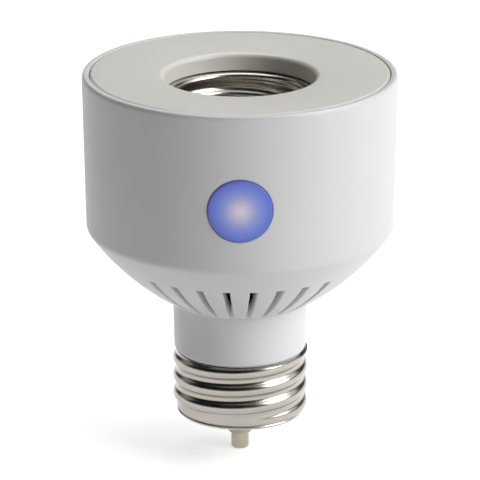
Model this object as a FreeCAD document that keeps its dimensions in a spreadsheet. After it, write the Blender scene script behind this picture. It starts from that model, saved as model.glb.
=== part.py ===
import FreeCAD, Part
import math
import os

import Sketcher
from FreeCAD import Rotation, Vector

os.makedirs("parts", exist_ok=True)
doc = FreeCAD.newDocument("lamp_socket_adapter")

# Driving dimensions, in millimetres and degrees
# The origin is the tip of the centre contact, on the axis, and +Z points to the lamp.
# The button looks along -Y.

DIMENSIONS = {
    "contact_diameter": (3.5, "centre contact of the screw base"),
    "contact_standout": (3.4, "how far the contact stands out of the insulator"),
    "insulator_drop": (4.8, "insulator below the rim of the screw shell"),
    "insulator_tip": (4.4, "diameter of the insulator where the contact leaves it"),
    "insulator_nose": (7.2, "diameter at which the insulator's nose meets its shallow cone"),
    "nose_height": (1.75, "nose of the insulator"),
    "shell_height": (12.8, "screw shell, from its rim to its free edge"),
    "shell_band": (2.74, "plain band between the rim and the first flank of the thread"),
    "thread_crest": (26.36, "crest diameter of the medium lamp screw"),
    "thread_depth": (0.78, "depth of the thread"),
    "thread_pitch": (3.629, "seven threads to the inch"),
    "sheet_metal": (0.35, "thickness of both rolled screw shells"),
    "neck_exposed": (10.75, "neck between the screw shell and the bowl"),
    "neck_relief": (0.13, "neck inside the crests of the thread, where it enters the bowl"),
    "neck_draft": (0.9, "taper of the neck towards the screw shell"),
    "neck_wall": (1.8, "wall of the neck"),
    "lip_wall": (0.65, "lower edge of the bowl, round its bore"),
    "bowl_height": (14.8, "bowl, from its lip to the corner under the cylinder"),
    "bowl_radius": (51.4, "curve of the bowl's outside"),
    "bowl_floor": (2.3, "bowl wall measured upright at the lip"),
    "body_diameter": (60.4, "housing at its mouth"),
    "body_height": (30.35, "cylinder, from the corner to the mouth"),
    "body_draft": (0.95, "taper of the cylinder towards the bowl"),
    "body_wall": (2.2, "wall of the cylinder"),
    "corner_round": (2.1, "rounding between the cylinder and the bowl"),
    "rim_round": (1.15, "rounding of the mouth's outer edge"),
    "rim_width": (1.35, "rim that shows round the cover"),
    "vent_inset": (0.5, "vents end this far out of the bowl's lower edge"),
    "vent_margin": (4.47, "vents begin this far in from the corner under the cylinder"),
    "vent_width": (3.2, "angle that one vent takes"),
    "vent_pitch": (11.77, "angle from one vent to the next"),
    "vent_break": (29.7, "angle from one group of vents to the next, where the columns stand"),
    "vents_in_front": (8, "vents under the button"),
    "vents_at_side": (9, "vents in each of the other two groups"),
    "cover_gap": (0.35, "joint line between the cover and the rim"),
    "cover_thickness": (1.8, "cover at its edge"),
    "cover_dish": (0.45, "how far the cover dips towards the mouth"),
    "cover_bevel": (0.25, "broken edge of the cover"),
    "cover_skirt": (2.0, "locating skirt below the cover"),
    "mouth_diameter": (29.0, "bore that the lamp's neck passes"),
    "mouth_round": (1.0, "rounding of the mouth's edge"),
    "collar_depth": (3.9, "plain collar, from the mouth down"),
    "collar_wall": (1.5, "wall of the collar"),
    "socket_play": (0.2, "radial play between a lamp's thread and the socket's"),
    "socket_flange": (0.51, "flat of the screw shell's flange, outside its rounding"),
    "cup_wall": (1.8, "wall of the socket's insulating cup"),
    "cup_floor": (2.4, "floor of the insulating cup"),
    "cup_feet": (0.6, "feet that carry the cup above the main board"),
    "leaf_rise": (2.6, "free height of the centre leaf above the cup's floor"),
    "leaf_width": (5.0, "width of the centre leaf"),
    "leaf_metal": (0.4, "thickness of the centre leaf and the terminal"),
    "rivet_place": (8.2, "rivet of the leaf, from the axis"),
    "rivet_diameter": (2.0, "shank of the leaf's rivet"),
    "terminal_place": (10.6, "terminal of the screw shell, from the axis"),
    "terminal_width": (3.0, "terminal of the screw shell"),
    "nub_diameter": (3.6, "contact nub on the end of the leaf"),
    "nub_travel": (1.2, "how far a lamp pushes the centre contact down"),
    "button_diameter": (12.0, "lit push button"),
    "button_rise": (8.9, "button's centre above the main board"),
    "button_proud": (0.25, "how far the cap stands out of the housing"),
    "button_travel": (0.7, "stroke of the button"),
    "button_play": (0.08, "radial running play of the cap in its guide"),
    "guide_wall": (1.8, "wall of the guide round the button"),
    "guide_depth": (5.0, "guide's end behind the front of the housing"),
    "cap_wall": (1.4, "wall of the hollow cap"),
    "cap_flange": (1.2, "flange that keeps the cap in its guide"),
    "switch_width": (6.0, "square case of the push switch"),
    "switch_height": (3.5, "case of the push switch"),
    "switch_board_gap": (1.9, "from the socket's cup to the front of the switch board"),
    "plunger_diameter": (3.4, "plunger of the push switch"),
    "board_thickness": (1.6, "main circuit board"),
    "board_lift": (1.7, "main board above the corner under the cylinder"),
    "board_gap": (1.7, "from the main board's rim to the wall of the cylinder"),
    "column_inset": (2.8, "screws of the main board in from its rim"),
    "column_diameter": (5.0, "columns that carry the main board"),
    "ear_reach": (4.55, "screws of the neck out from its wall"),
    "ear_thickness": (2.0, "ears of the neck"),
    "screw_diameter": (2.2, "thread of the small screws"),
    "screw_bite": (2.2, "how far a screw goes into its column"),
    "clearance": (0.15, "gap between pieces that seat in each other"),
    "lead_diameter": (1.8, "insulated lead"),
}

sheet = doc.addObject("Spreadsheet::Sheet", "size")
for row, (alias, (value, note)) in enumerate(DIMENSIONS.items(), start=1):
    sheet.set(f"A{row}", note)
    sheet.set(f"B{row}", str(value))
    sheet.setAlias(f"B{row}", alias)
doc.recompute()


def named(text):
    """Turn the plain names of dimensions in a formula into cells of the sheet."""
    words = []
    word = ""
    for letter in str(text) + " ":
        if letter.isalnum() or letter == "_":
            word += letter
            continue
        words.append(f"size.{word}" if word in DIMENSIONS else word)
        words.append(letter)
        word = ""
    return "".join(words).strip()


def number(text):
    """Value of a formula now."""
    value = sheet.evalExpression(named(text))
    return float(getattr(value, "Value", value))


# Heights above the tip of the centre contact
SHELL_RIM = "(contact_standout + insulator_drop)"
SHELL_TOP = f"({SHELL_RIM} + shell_height)"
LIP = f"({SHELL_TOP} + neck_exposed)"
CORNER = f"({LIP} + bowl_height)"
MOUTH = f"({CORNER} + body_height)"
LEDGE = f"({MOUTH} - cover_thickness)"
COLLAR_END = f"({MOUTH} - collar_depth)"
CUP_TOP = f"({COLLAR_END} - clearance - sheet_metal)"
BOARD_BOTTOM = f"({CORNER} + board_lift)"
BOARD_TOP = f"({BOARD_BOTTOM} + board_thickness)"
CUP_BOTTOM = f"({BOARD_TOP} + cup_feet)"
CUP_INSIDE = f"({CUP_BOTTOM} + cup_floor)"
NECK_TOP = f"({LIP} + bowl_floor + neck_wall / 3)"
BUTTON_LEVEL = f"({BOARD_TOP} + button_rise)"

# Radii
BODY = "(body_diameter / 2)"
BODY_CORNER = f"({BODY} - body_height * tan(body_draft))"
RIM_INSIDE = f"({BODY} - rim_width)"
COVER = f"({RIM_INSIDE} - cover_gap)"
LEDGE_INSIDE = f"({BODY} - cover_thickness * tan(body_draft) - body_wall)"
BODY_INSIDE = f"({BODY_CORNER} - body_wall)"
MOUTH_BORE = "(mouth_diameter / 2)"
COLLAR_OUTSIDE = f"({MOUTH_BORE} + collar_wall)"
THREAD_CREST = "(thread_crest / 2)"
THREAD_ROOT = f"({THREAD_CREST} - thread_depth)"
SOCKET_CREST = f"({THREAD_CREST} + socket_play)"
SOCKET_ROOT = f"({THREAD_ROOT} + socket_play)"
CUP_BORE = f"({SOCKET_CREST} + sheet_metal + clearance)"
CUP_OUTSIDE = f"({CUP_BORE} + cup_wall)"
NECK = f"({THREAD_CREST} - neck_relief)"
NECK_LOW = f"({NECK} - neck_exposed * tan(neck_draft))"
SPIGOT = f"({THREAD_ROOT} - sheet_metal - clearance)"
LIP_BORE = f"({NECK} + clearance)"
LIP_OUTSIDE = f"({LIP_BORE} + lip_wall)"
EAR_RING = f"({NECK} + ear_reach)"
BOARD = f"({BODY_INSIDE} - board_gap)"
COLUMN_RING = f"({BOARD} - column_inset)"
VENT_INSIDE = f"({LIP_OUTSIDE} + vent_inset)"
VENT_OUTSIDE = f"({BODY_CORNER} - vent_margin)"
BUTTON = "(button_diameter / 2)"
BUTTON_BORE = f"({BUTTON} + button_play)"

# Height of a straight line along the bowl's inside, which lies just above the curved wall
def above_bowl(radius):
    share = f"({radius} - {LIP_BORE}) / ({BODY_INSIDE} - {LIP_BORE})"
    return f"({LIP} + bowl_floor + ({CORNER} + body_wall / 2 - {LIP} - bowl_floor) * {share})"


EAR_BOTTOM = above_bowl(f"({EAR_RING} + column_diameter / 2)")

# The front of the housing at the button's height, and what lies behind it
FRONT = f"({BODY} - ({MOUTH} - {BUTTON_LEVEL}) * tan(body_draft))"
GUIDE_END = f"({FRONT} - guide_depth)"
FLANGE_FRONT = f"({GUIDE_END} - clearance)"
FLANGE_BACK = f"({FLANGE_FRONT} - cap_flange)"
SWITCH_BOARD = f"({CUP_OUTSIDE} + switch_board_gap)"
SWITCH_FRONT = f"({SWITCH_BOARD} + switch_height)"
PLUNGER_FRONT = f"({SWITCH_FRONT} + button_travel + 2 * clearance)"
PLUNGER_SEAT = "(2 * button_travel - 0.2)"

# Numbers by which a sketch knows its axes and the points of an edge
X_AXIS, Y_AXIS = range(-1, -3, -1)
START, END, CENTRE = range(1, 4)

# Edges this near to a place lie at it
TOUCH = 0.01
ACROSS, UP = Vector(0, 1, 0), Vector(0, 0, 1)


def new_body(label):
    """A body that becomes one piece of the adapter."""
    body = doc.addObject("PartDesign::Body", label)
    body.Label = label
    return body


def origin_item(body, role):
    """Plane or axis of a body's own origin."""
    return next(item for item in body.Origin.OriginFeatures if item.Role == role)


def new_sketch(body, name, plane="XZ_Plane", lift="0"):
    """Sketch on one of the body's own planes, lifted along the plane's normal."""
    sketch = body.newObject("Sketcher::SketchObject", name)
    sketch.AttachmentSupport = [(origin_item(body, plane), "")]
    sketch.MapMode = "FlatFace"
    if lift != "0":
        sketch.setExpression(".AttachmentOffset.Base.z", named(lift))
    return sketch


def pin_point(sketch, edge, end, across, up):
    """Hold one end of an edge at a place given by two formulas."""
    for kind, axis, formula in (("DistanceX", Y_AXIS, across), ("DistanceY", X_AXIS, up)):
        if formula == "0":
            sketch.addConstraint(Sketcher.Constraint("PointOnObject", edge, end, axis))
            continue
        place = sketch.addConstraint(Sketcher.Constraint(kind, edge, end, number(formula)))
        sketch.setExpression(f"Constraints[{place}]", named(formula))


def outline(sketch, corners):
    """Closed outline. A corner is (across, up), or (across, up, radius, turn) where an arc leads to
    the next corner: turn is left for an arc that runs anticlockwise and right for the other."""
    places = [Vector(number(corner[0]), number(corner[1]), 0) for corner in corners]
    ends = []
    for index, corner in enumerate(corners):
        here = places[index]
        there = places[(index + 1) % len(corners)]
        if len(corner) == 2:
            edge = sketch.addGeometry(Part.LineSegment(here, there), False)
            ends.append((edge, START, END))
            continue
        radius = number(corner[2])
        left = corner[3] == "left"
        chord = there - here
        normal = Vector(-chord.y, chord.x, 0).normalize() * (1 if left else -1)
        centre = (here + there) / 2 + normal * math.sqrt(max(radius ** 2 - chord.Length ** 2 / 4, 0))
        circle = Part.Circle(centre, Vector(0, 0, 1), radius)
        low, high = (here, there) if left else (there, here)
        angles = [math.atan2(point.y - centre.y, point.x - centre.x) for point in (low, high)]
        if angles[1] < angles[0]:
            angles[1] += 2 * math.pi
        edge = sketch.addGeometry(Part.ArcOfCircle(circle, *angles), False)
        ends.append((edge, START, END) if left else (edge, END, START))
        place = sketch.addConstraint(Sketcher.Constraint("Radius", edge, radius))
        sketch.setExpression(f"Constraints[{place}]", named(corner[2]))
    for index, corner in enumerate(corners):
        edge, near, _ = ends[index]
        before, _, far = ends[index - 1]
        sketch.addConstraint(Sketcher.Constraint("Coincident", before, far, edge, near))
        pin_point(sketch, edge, near, corner[0], corner[1])


def circle(sketch, radius, across="0", up="0"):
    """Circle in a sketch, its radius and centre given by formulas."""
    centre = Vector(number(across), number(up), 0)
    edge = sketch.addGeometry(Part.Circle(centre, Vector(0, 0, 1), number(radius)), False)
    place = sketch.addConstraint(Sketcher.Constraint("Radius", edge, number(radius)))
    sketch.setExpression(f"Constraints[{place}]", named(radius))
    pin_point(sketch, edge, CENTRE, across, up)


def revolve(body, name, corners, kind="PartDesign::Revolution"):
    """Turn an outline in the XZ plane all round the Z axis."""
    sketch = new_sketch(body, f"{name}_profile")
    outline(sketch, corners)
    feature = body.newObject(kind, name)
    feature.Profile = sketch
    feature.ReferenceAxis = (sketch, ["V_Axis"])
    feature.Angle = 360
    return feature


def push(body, name, sketch, kind="PartDesign::Pad", length=None, flip=False, both_ways=False,
         until="Length"):
    """Pad or pocket of a sketch."""
    feature = body.newObject(kind, name)
    feature.Profile = sketch
    feature.Reversed = flip
    feature.Type = until
    if both_ways:
        feature.SideType = "Symmetric"
    if length:
        feature.setExpression("Length", named(length))
    return feature


def spread(body, name, original, copies, angle="360"):
    """Copies of a feature round the Z axis."""
    pattern = body.newObject("PartDesign::PolarPattern", name)
    pattern.Originals = [original]
    pattern.Axis = (origin_item(body, "Z_Axis"), [""])
    pattern.setExpression("Angle", named(angle))
    pattern.setExpression("Occurrences", named(copies))
    body.Tip = pattern
    return pattern


def round_edges(body, name, radius, chosen):
    """Fillet the edges of the body's last feature for which chosen(edge) is true."""
    doc.recompute()
    base = body.Tip
    edges = [f"Edge{i}" for i, edge in enumerate(base.Shape.Edges, start=1) if chosen(edge)]
    fillet = body.newObject("PartDesign::Fillet", name)
    fillet.Base = (base, edges)
    fillet.setExpression("Radius", named(radius))
    return fillet


def runs_along(axis):
    """Test for straight edges that run along one axis."""
    def chosen(edge):
        run = edge.Vertexes[-1].Point - edge.Vertexes[0].Point
        return run.Length > 0 and run.cross(axis).Length < TOUCH
    return chosen


def ring_at(radius, level):
    """Test for full circles of this radius at this height."""
    def chosen(edge):
        box = edge.BoundBox
        wide = abs(box.XMax - number(radius)) < TOUCH
        flat = abs(box.ZMin - number(level)) < TOUCH and box.ZLength < TOUCH
        return wide and flat
    return chosen


# Housing: cylinder, rim and rebate for the cover, and the bowl, as one moulded wall
housing = new_body("housing")
revolve(housing, "housing_wall", [
    (LIP_BORE, LIP),
    (LIP_OUTSIDE, LIP, "bowl_radius", "left"),
    (BODY_CORNER, CORNER),
    (BODY, MOUTH),
    (RIM_INSIDE, MOUTH),
    (RIM_INSIDE, LEDGE),
    (LEDGE_INSIDE, LEDGE),
    (BODY_INSIDE, f"{CORNER} + body_wall / 2", "bowl_radius", "right"),
    (LIP_BORE, f"{LIP} + bowl_floor"),
])
round_edges(housing, "corner_rounding", "corner_round", ring_at(BODY_CORNER, CORNER))
round_edges(housing, "rim_rounding", "rim_round", ring_at(BODY, MOUTH))

# Guide for the button, from its flat end out to the wall, then the bore through both
guide = new_sketch(housing, "guide_ring", lift=GUIDE_END)
circle(guide, f"{BUTTON_BORE} + guide_wall", "0", BUTTON_LEVEL)
push(housing, "button_guide", guide, until="UpToFirst")
bore = new_sketch(housing, "button_circle", lift=f"{GUIDE_END} - 1")
circle(bore, BUTTON_BORE, "0", BUTTON_LEVEL)
push(housing, "button_bore", bore, "PartDesign::Pocket", "guide_depth + 3", flip=True)

# Three columns for the main board and three posts for the neck's ears, with their pilot holes
for name, ring, top in (
    ("board_column", COLUMN_RING, BOARD_BOTTOM),
    ("neck_post", EAR_RING, EAR_BOTTOM),
):
    foot = new_sketch(housing, f"{name}_circle", "XY_Plane", top)
    circle(foot, "column_diameter / 2", "0", ring)
    column = push(housing, name, foot, flip=True, until="UpToFirst")
    spread(housing, f"{name}s", column, "3")
    pilot = new_sketch(housing, f"{name}_pilot_circle", "XY_Plane", top)
    circle(pilot, "screw_diameter / 2", "0", ring)
    hole = push(housing, f"{name}_pilot", pilot, "PartDesign::Pocket", "screw_bite + 0.4")
    spread(housing, f"{name}_pilots", hole, "3")

# Vents: upright slots through the bowl, in three groups that leave room for the columns
SIDE_TURN = "((vents_in_front + vents_at_side - 2) / 2 * vent_pitch + vent_break)"
for name, middle, copies in (
    ("front_vent", "-90", "vents_in_front"),
    ("right_vent", f"-90 + {SIDE_TURN}", "vents_at_side"),
    ("left_vent", f"-90 - {SIDE_TURN}", "vents_at_side"),
):
    first = f"({middle} - vent_pitch * ({copies} - 1) / 2)"
    vent = new_sketch(housing, f"{name}_outline", "XY_Plane")
    outline(vent, [
        (f"{ring} * cos({first} {side})", f"{ring} * sin({first} {side})")
        for ring, side in (
            (VENT_INSIDE, "- vent_width / 2"),
            (VENT_OUTSIDE, "- vent_width / 2"),
            (VENT_OUTSIDE, "+ vent_width / 2"),
            (VENT_INSIDE, "+ vent_width / 2"),
        )
    ])
    slot = push(housing, name, vent, "PartDesign::Pocket", f"{CORNER} + body_wall", flip=True)
    spread(housing, f"{name}s", slot, copies, f"vent_pitch * ({copies} - 1)")

# Top cover: flush ring that dips gently to the mouth, with the plain collar and a locating skirt
SKIRT = f"({LEDGE_INSIDE} - cover_skirt * tan(body_draft) - clearance)"
SKIRT_WALL = "1.2"
DISH_SPAN = f"({COVER} - cover_bevel - {MOUTH_BORE} - mouth_round)"
top_cover = new_body("top_cover")
revolve(top_cover, "cover_ring", [
    (MOUTH_BORE, COLLAR_END),
    (COLLAR_OUTSIDE, COLLAR_END),
    (COLLAR_OUTSIDE, LEDGE),
    (f"{SKIRT} - {SKIRT_WALL}", LEDGE),
    (f"{SKIRT} - {SKIRT_WALL}", f"{LEDGE} - cover_skirt"),
    (SKIRT, f"{LEDGE} - cover_skirt"),
    (SKIRT, LEDGE),
    (COVER, LEDGE),
    (COVER, f"{MOUTH} - cover_bevel"),
    (f"{COVER} - cover_bevel", MOUTH, f"({DISH_SPAN} ^ 2 + cover_dish ^ 2) / (2 * cover_dish)", "left"),
    (f"{MOUTH_BORE} + mouth_round", f"{MOUTH} - cover_dish", "mouth_round", "left"),
    (MOUTH_BORE, f"{MOUTH} - cover_dish - mouth_round"),
])

# Neck: tapered tube with a spigot for the screw shell, and three ears on short arms
INSULATOR_RISE = "2.55"
ARM_ROOT = f"({NECK} - 0.2)"
ARM_END = f"({NECK} + 1)"
SPIGOT_END = f"({SHELL_RIM} + {INSULATOR_RISE} + clearance)"
SHOULDER = f"({SHELL_TOP} + clearance)"
neck = new_body("neck")
revolve(neck, "neck_tube", [
    (f"{SPIGOT} - neck_wall", SPIGOT_END),
    (SPIGOT, SPIGOT_END),
    (SPIGOT, SHOULDER, f"{NECK_LOW} - {SPIGOT}", "left"),
    (NECK_LOW, f"{SHOULDER} + {NECK_LOW} - {SPIGOT}"),
    (NECK, LIP),
    (NECK, NECK_TOP),
    (f"{NECK} - neck_wall", NECK_TOP),
    (f"{SPIGOT} - neck_wall", SHELL_TOP),
])
EAR_TOP = f"({EAR_BOTTOM} + ear_thickness)"
arm = new_sketch(neck, "arm_profile", "YZ_Plane")
outline(arm, [
    (f"{NECK} - neck_wall", NECK_TOP),
    (ARM_ROOT, NECK_TOP),
    (ARM_ROOT, EAR_BOTTOM),
    (ARM_END, EAR_BOTTOM),
    (ARM_END, EAR_TOP),
    (f"{NECK} - neck_wall", EAR_TOP),
])
arm_pad = push(neck, "arm", arm, length="column_diameter", both_ways=True)
ear = new_sketch(neck, "ear_outline", "XY_Plane", EAR_BOTTOM)
outline(ear, [
    ("column_diameter / 2", f"{NECK} - neck_wall"),
    ("column_diameter / 2", EAR_RING, "column_diameter * 0.51", "left"),
    ("-column_diameter / 2", EAR_RING),
    ("-column_diameter / 2", f"{NECK} - neck_wall"),
])
ear_pad = push(neck, "ear", ear, length="ear_thickness")
ear_bore = new_sketch(neck, "ear_bore_circle", "XY_Plane", EAR_TOP)
circle(ear_bore, "screw_diameter / 2 + clearance", "0", EAR_RING)
ear_hole = push(neck, "ear_bore", ear_bore, "PartDesign::Pocket", "ear_thickness")
arms = spread(neck, "ears", arm_pad, "3")
arms.Originals = [arm_pad, ear_pad, ear_hole]

# Screw base: insulator with its centre contact
CONTACT = "(contact_diameter / 2)"
CONTACT_SLEEVE = f"({CONTACT} + 0.05)"
CONTACT_HEAD = f"({CONTACT} + 1)"
RIM_END = f"({THREAD_ROOT} - 1.3)"
CONE_END = f"({RIM_END} - clearance)"
PLUG = f"({SPIGOT} - 0.2)"
PLUG_FOOT = f"({SHELL_RIM} + sheet_metal + clearance)"
INSULATOR_TOP = f"({SPIGOT_END} - clearance)"
base_insulator = new_body("base_insulator")
revolve(base_insulator, "insulator_cone", [
    (CONTACT_SLEEVE, "contact_standout"),
    ("insulator_tip / 2", "contact_standout"),
    ("insulator_nose / 2", "contact_standout + nose_height"),
    (CONE_END, f"{SHELL_RIM} - clearance"),
    (CONE_END, PLUG_FOOT),
    (PLUG, f"{PLUG_FOOT} + 0.4"),
    (PLUG, INSULATOR_TOP),
    (CONTACT_SLEEVE, INSULATOR_TOP),
])
CONTACT_SHOULDER = f"({INSULATOR_TOP} + 0.05)"
CONTACT_TOP = f"({CONTACT_SHOULDER} + 0.85)"
CONTACT_BEVEL = "0.25"
base_contact = new_body("base_contact")
revolve(base_contact, "contact_pin", [
    ("0", "0"),
    (f"{CONTACT} - {CONTACT_BEVEL}", "0"),
    (CONTACT, CONTACT_BEVEL),
    (CONTACT, CONTACT_SHOULDER),
    (CONTACT_HEAD, CONTACT_SHOULDER),
    (CONTACT_HEAD, CONTACT_TOP),
    ("0", CONTACT_TOP),
])

# Socket: insulating cup on three feet, with the holes for the rivet and the two terminals
FOOT = "1.5"
socket_insulator = new_body("socket_insulator")
revolve(socket_insulator, "cup", [
    ("0", CUP_BOTTOM),
    (CUP_OUTSIDE, CUP_BOTTOM),
    (CUP_OUTSIDE, CUP_TOP),
    (CUP_BORE, CUP_TOP),
    (CUP_BORE, CUP_INSIDE),
    ("0", CUP_INSIDE),
])
foot = new_sketch(socket_insulator, "foot_circle", "XY_Plane", BOARD_TOP)
circle(foot, FOOT, "0", f"{CUP_OUTSIDE} - {FOOT} - 0.7")
foot_pad = push(socket_insulator, "foot", foot, length="cup_feet + 0.2")
spread(socket_insulator, "feet", foot_pad, "3")
rivet_hole = new_sketch(socket_insulator, "rivet_circle", "XY_Plane", CUP_INSIDE)
circle(rivet_hole, "rivet_diameter / 2 + clearance / 3", "rivet_place", "0")
push(socket_insulator, "rivet_bore", rivet_hole, "PartDesign::Pocket", "cup_floor")
terminal_slot = new_sketch(socket_insulator, "terminal_slot", "XY_Plane", CUP_INSIDE)
outline(terminal_slot, [
    (f"-terminal_place + {side} * (leaf_metal / 2 + clearance)", f"{end} * (terminal_width / 2 + clearance)")
    for side, end in ((-1, -1), (1, -1), (1, 1), (-1, 1))
])
push(socket_insulator, "terminal_bore", terminal_slot, "PartDesign::Pocket", "cup_floor")

# Centre contact of the socket: riveted spring leaf with a nub on its free end
LEAF_TOP = f"({CUP_INSIDE} + leaf_rise)"
LEAF_FOOT = f"({CUP_INSIDE} + leaf_metal)"
LEAF_BEND = "(rivet_place - 2.2)"
NUB = "(nub_diameter / 2)"
NUB_SHANK = "(nub_diameter / 2 - 0.8)"
contact_leaf = new_body("contact_leaf")
leaf = new_sketch(contact_leaf, "leaf_profile")
outline(leaf, [
    ("rivet_place + 2", CUP_INSIDE),
    ("rivet_place + 2", LEAF_FOOT),
    (LEAF_BEND, LEAF_FOOT),
    (f"{NUB} + 0.6", LEAF_TOP),
    (f"-{NUB} - 0.8", LEAF_TOP),
    (f"-{NUB} - 0.8", f"{LEAF_TOP} - leaf_metal"),
    (f"{NUB} + 0.4", f"{LEAF_TOP} - leaf_metal"),
    (f"{LEAF_BEND} - 0.1", CUP_INSIDE),
])
push(contact_leaf, "leaf", leaf, length="leaf_width", both_ways=True)
leaf_holes = new_sketch(contact_leaf, "leaf_circles", "XY_Plane", f"{CUP_INSIDE} - 1")
circle(leaf_holes, "rivet_diameter / 2 + clearance / 3", "rivet_place", "0")
circle(leaf_holes, f"{NUB_SHANK} + clearance / 2", "0", "0")
push(contact_leaf, "leaf_bores", leaf_holes, "PartDesign::Pocket", "leaf_rise + 4", flip=True)

contact_nub = new_body("contact_nub")
revolve(contact_nub, "nub", [
    ("0", f"{LEAF_TOP} - leaf_metal - 0.5"),
    (NUB_SHANK, f"{LEAF_TOP} - leaf_metal - 0.5"),
    (NUB_SHANK, f"{LEAF_TOP} + 0.05"),
    (NUB, f"{LEAF_TOP} + 0.05"),
    (NUB, f"{LEAF_TOP} + 0.35", "nub_diameter * 0.8", "left"),
    ("0.3", f"{LEAF_TOP} + 0.95"),
    ("0", f"{LEAF_TOP} + 0.95"),
])

contact_rivet = new_body("contact_rivet")
revolve(contact_rivet, "rivet", [
    ("0", BOARD_TOP),
    ("rivet_diameter / 2", BOARD_TOP),
    ("rivet_diameter / 2", LEAF_FOOT),
    ("rivet_diameter * 0.85", LEAF_FOOT),
    ("rivet_diameter * 0.85", f"{LEAF_FOOT} + 0.2", "rivet_diameter * 0.95", "left"),
    ("0.3", f"{LEAF_FOOT} + 0.9"),
    ("0", f"{LEAF_FOOT} + 0.9"),
])
contact_rivet.setExpression(".Placement.Base.x", named("rivet_place"))

# Terminal that takes the live side of the screw shell down to the board
shell_terminal = new_body("shell_terminal")
terminal = new_sketch(shell_terminal, "terminal_profile")
outline(terminal, [
    ("-terminal_place - leaf_metal / 2", BOARD_TOP),
    ("-terminal_place + leaf_metal / 2", BOARD_TOP),
    ("-terminal_place + leaf_metal / 2", LEAF_FOOT),
    (f"-{SOCKET_ROOT} + 0.1", LEAF_FOOT),
    (f"-{SOCKET_ROOT} + 0.1", CUP_INSIDE),
    ("-terminal_place - leaf_metal / 2", CUP_INSIDE),
])
push(shell_terminal, "terminal", terminal, length="terminal_width", both_ways=True)

# Button: cap that follows the housing's curve, hollow behind, with a flange and a pusher
CAP_TAPER = f"({BUTTON} * tan(body_draft))"
CAP_FRONT = f"({FRONT} + button_proud)"
button_cap = new_body("button_cap")
disc = new_sketch(button_cap, "cap_circle", lift=FLANGE_FRONT)
circle(disc, BUTTON, "0", BUTTON_LEVEL)
push(button_cap, "cap_disc", disc, length="guide_depth + 2")
revolve(button_cap, "cap_front", [
    (f"{CAP_FRONT} + {CAP_TAPER}", f"{BUTTON_LEVEL} + {BUTTON}"),
    (f"{CAP_FRONT} - {CAP_TAPER}", f"{BUTTON_LEVEL} - {BUTTON}"),
    (f"{CAP_FRONT} + {BUTTON}", f"{BUTTON_LEVEL} - {BUTTON}"),
    (f"{CAP_FRONT} + {BUTTON}", f"{BUTTON_LEVEL} + {BUTTON}"),
], "PartDesign::Groove")


def front_edge(edge):
    """Edge between the cap's side and its front."""
    span = edge.BoundBox
    return span.YMax < -number(GUIDE_END) - 1 and min(span.XLength, span.ZLength) > number(BUTTON)


round_edges(button_cap, "cap_rounding", "button_proud + 0.1", front_edge)
flange = new_sketch(button_cap, "flange_circle", lift=FLANGE_BACK)
circle(flange, f"{BUTTON} + cap_flange", "0", BUTTON_LEVEL)
push(button_cap, "cap_flange", flange, length="cap_flange")
hollow = new_sketch(button_cap, "hollow_circle", lift=FLANGE_BACK)
circle(hollow, f"{BUTTON} - cap_wall", "0", BUTTON_LEVEL)
cap_depth = f"{FRONT} - cap_wall - {FLANGE_BACK}"
push(button_cap, "cap_hollow", hollow, "PartDesign::Pocket", cap_depth, flip=True)
pusher = new_sketch(button_cap, "pusher_circle", lift=PLUNGER_FRONT)
circle(pusher, "plunger_diameter / 2 - 0.1", "0", BUTTON_LEVEL)
push(button_cap, "cap_pusher", pusher, length=f"{FRONT} - cap_wall + 0.2 - {PLUNGER_FRONT}")

# Push switch behind the button: square case with a bore for its plunger
tact_switch = new_body("tact_switch")
case = new_sketch(tact_switch, "case_outline", lift=SWITCH_BOARD)
outline(case, [
    (f"{side_x} * switch_width / 2", f"{BUTTON_LEVEL} + {side_z} * switch_width / 2")
    for side_x, side_z in ((-1, -1), (1, -1), (1, 1), (-1, 1))
])
push(tact_switch, "case", case, length="switch_height")
round_edges(tact_switch, "case_rounding", "0.4", runs_along(ACROSS))
well = new_sketch(tact_switch, "plunger_circle", lift=SWITCH_FRONT)
circle(well, "plunger_diameter / 2 + 0.05", "0", BUTTON_LEVEL)
push(tact_switch, "plunger_bore", well, "PartDesign::Pocket", f"{PLUNGER_SEAT} + button_travel + 0.2")
tact_plunger = new_body("tact_plunger")
plunger = new_sketch(tact_plunger, "plunger_circle", lift=f"{SWITCH_FRONT} - {PLUNGER_SEAT}")
circle(plunger, "plunger_diameter / 2", "0", BUTTON_LEVEL)
push(tact_plunger, "plunger", plunger, length=f"{PLUNGER_FRONT} - {SWITCH_FRONT} + {PLUNGER_SEAT}")


# Rolled screw shells: thin sheet with a crest and a root for each turn of the thread
THREAD_MIDDLE = f"(({THREAD_CREST} + {THREAD_ROOT}) / 2)"


def rolled(outwards, level, halves, upward):
    """Corners of one side of a rolled thread with flat crests and roots and straight flanks.
    Each half pitch above level holds one flat, a crest first. They are listed upwards or downwards."""
    corners = []
    for step in range(halves) if upward else reversed(range(halves)):
        swing = "thread_depth / 2" if step % 2 == 0 else "-thread_depth / 2"
        radius = f"({THREAD_MIDDLE} + {outwards} + {swing})"
        eighths = (1, 3) if upward else (3, 1)
        corners += [(radius, f"{level} + ({step} * 4 + {eighth}) * thread_pitch / 8") for eighth in eighths]
    return corners


def halves_between(low, high):
    """Half pitches that fit between two levels."""
    return max(1, math.floor((number(high) - number(low)) / number("thread_pitch / 2")))


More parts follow.
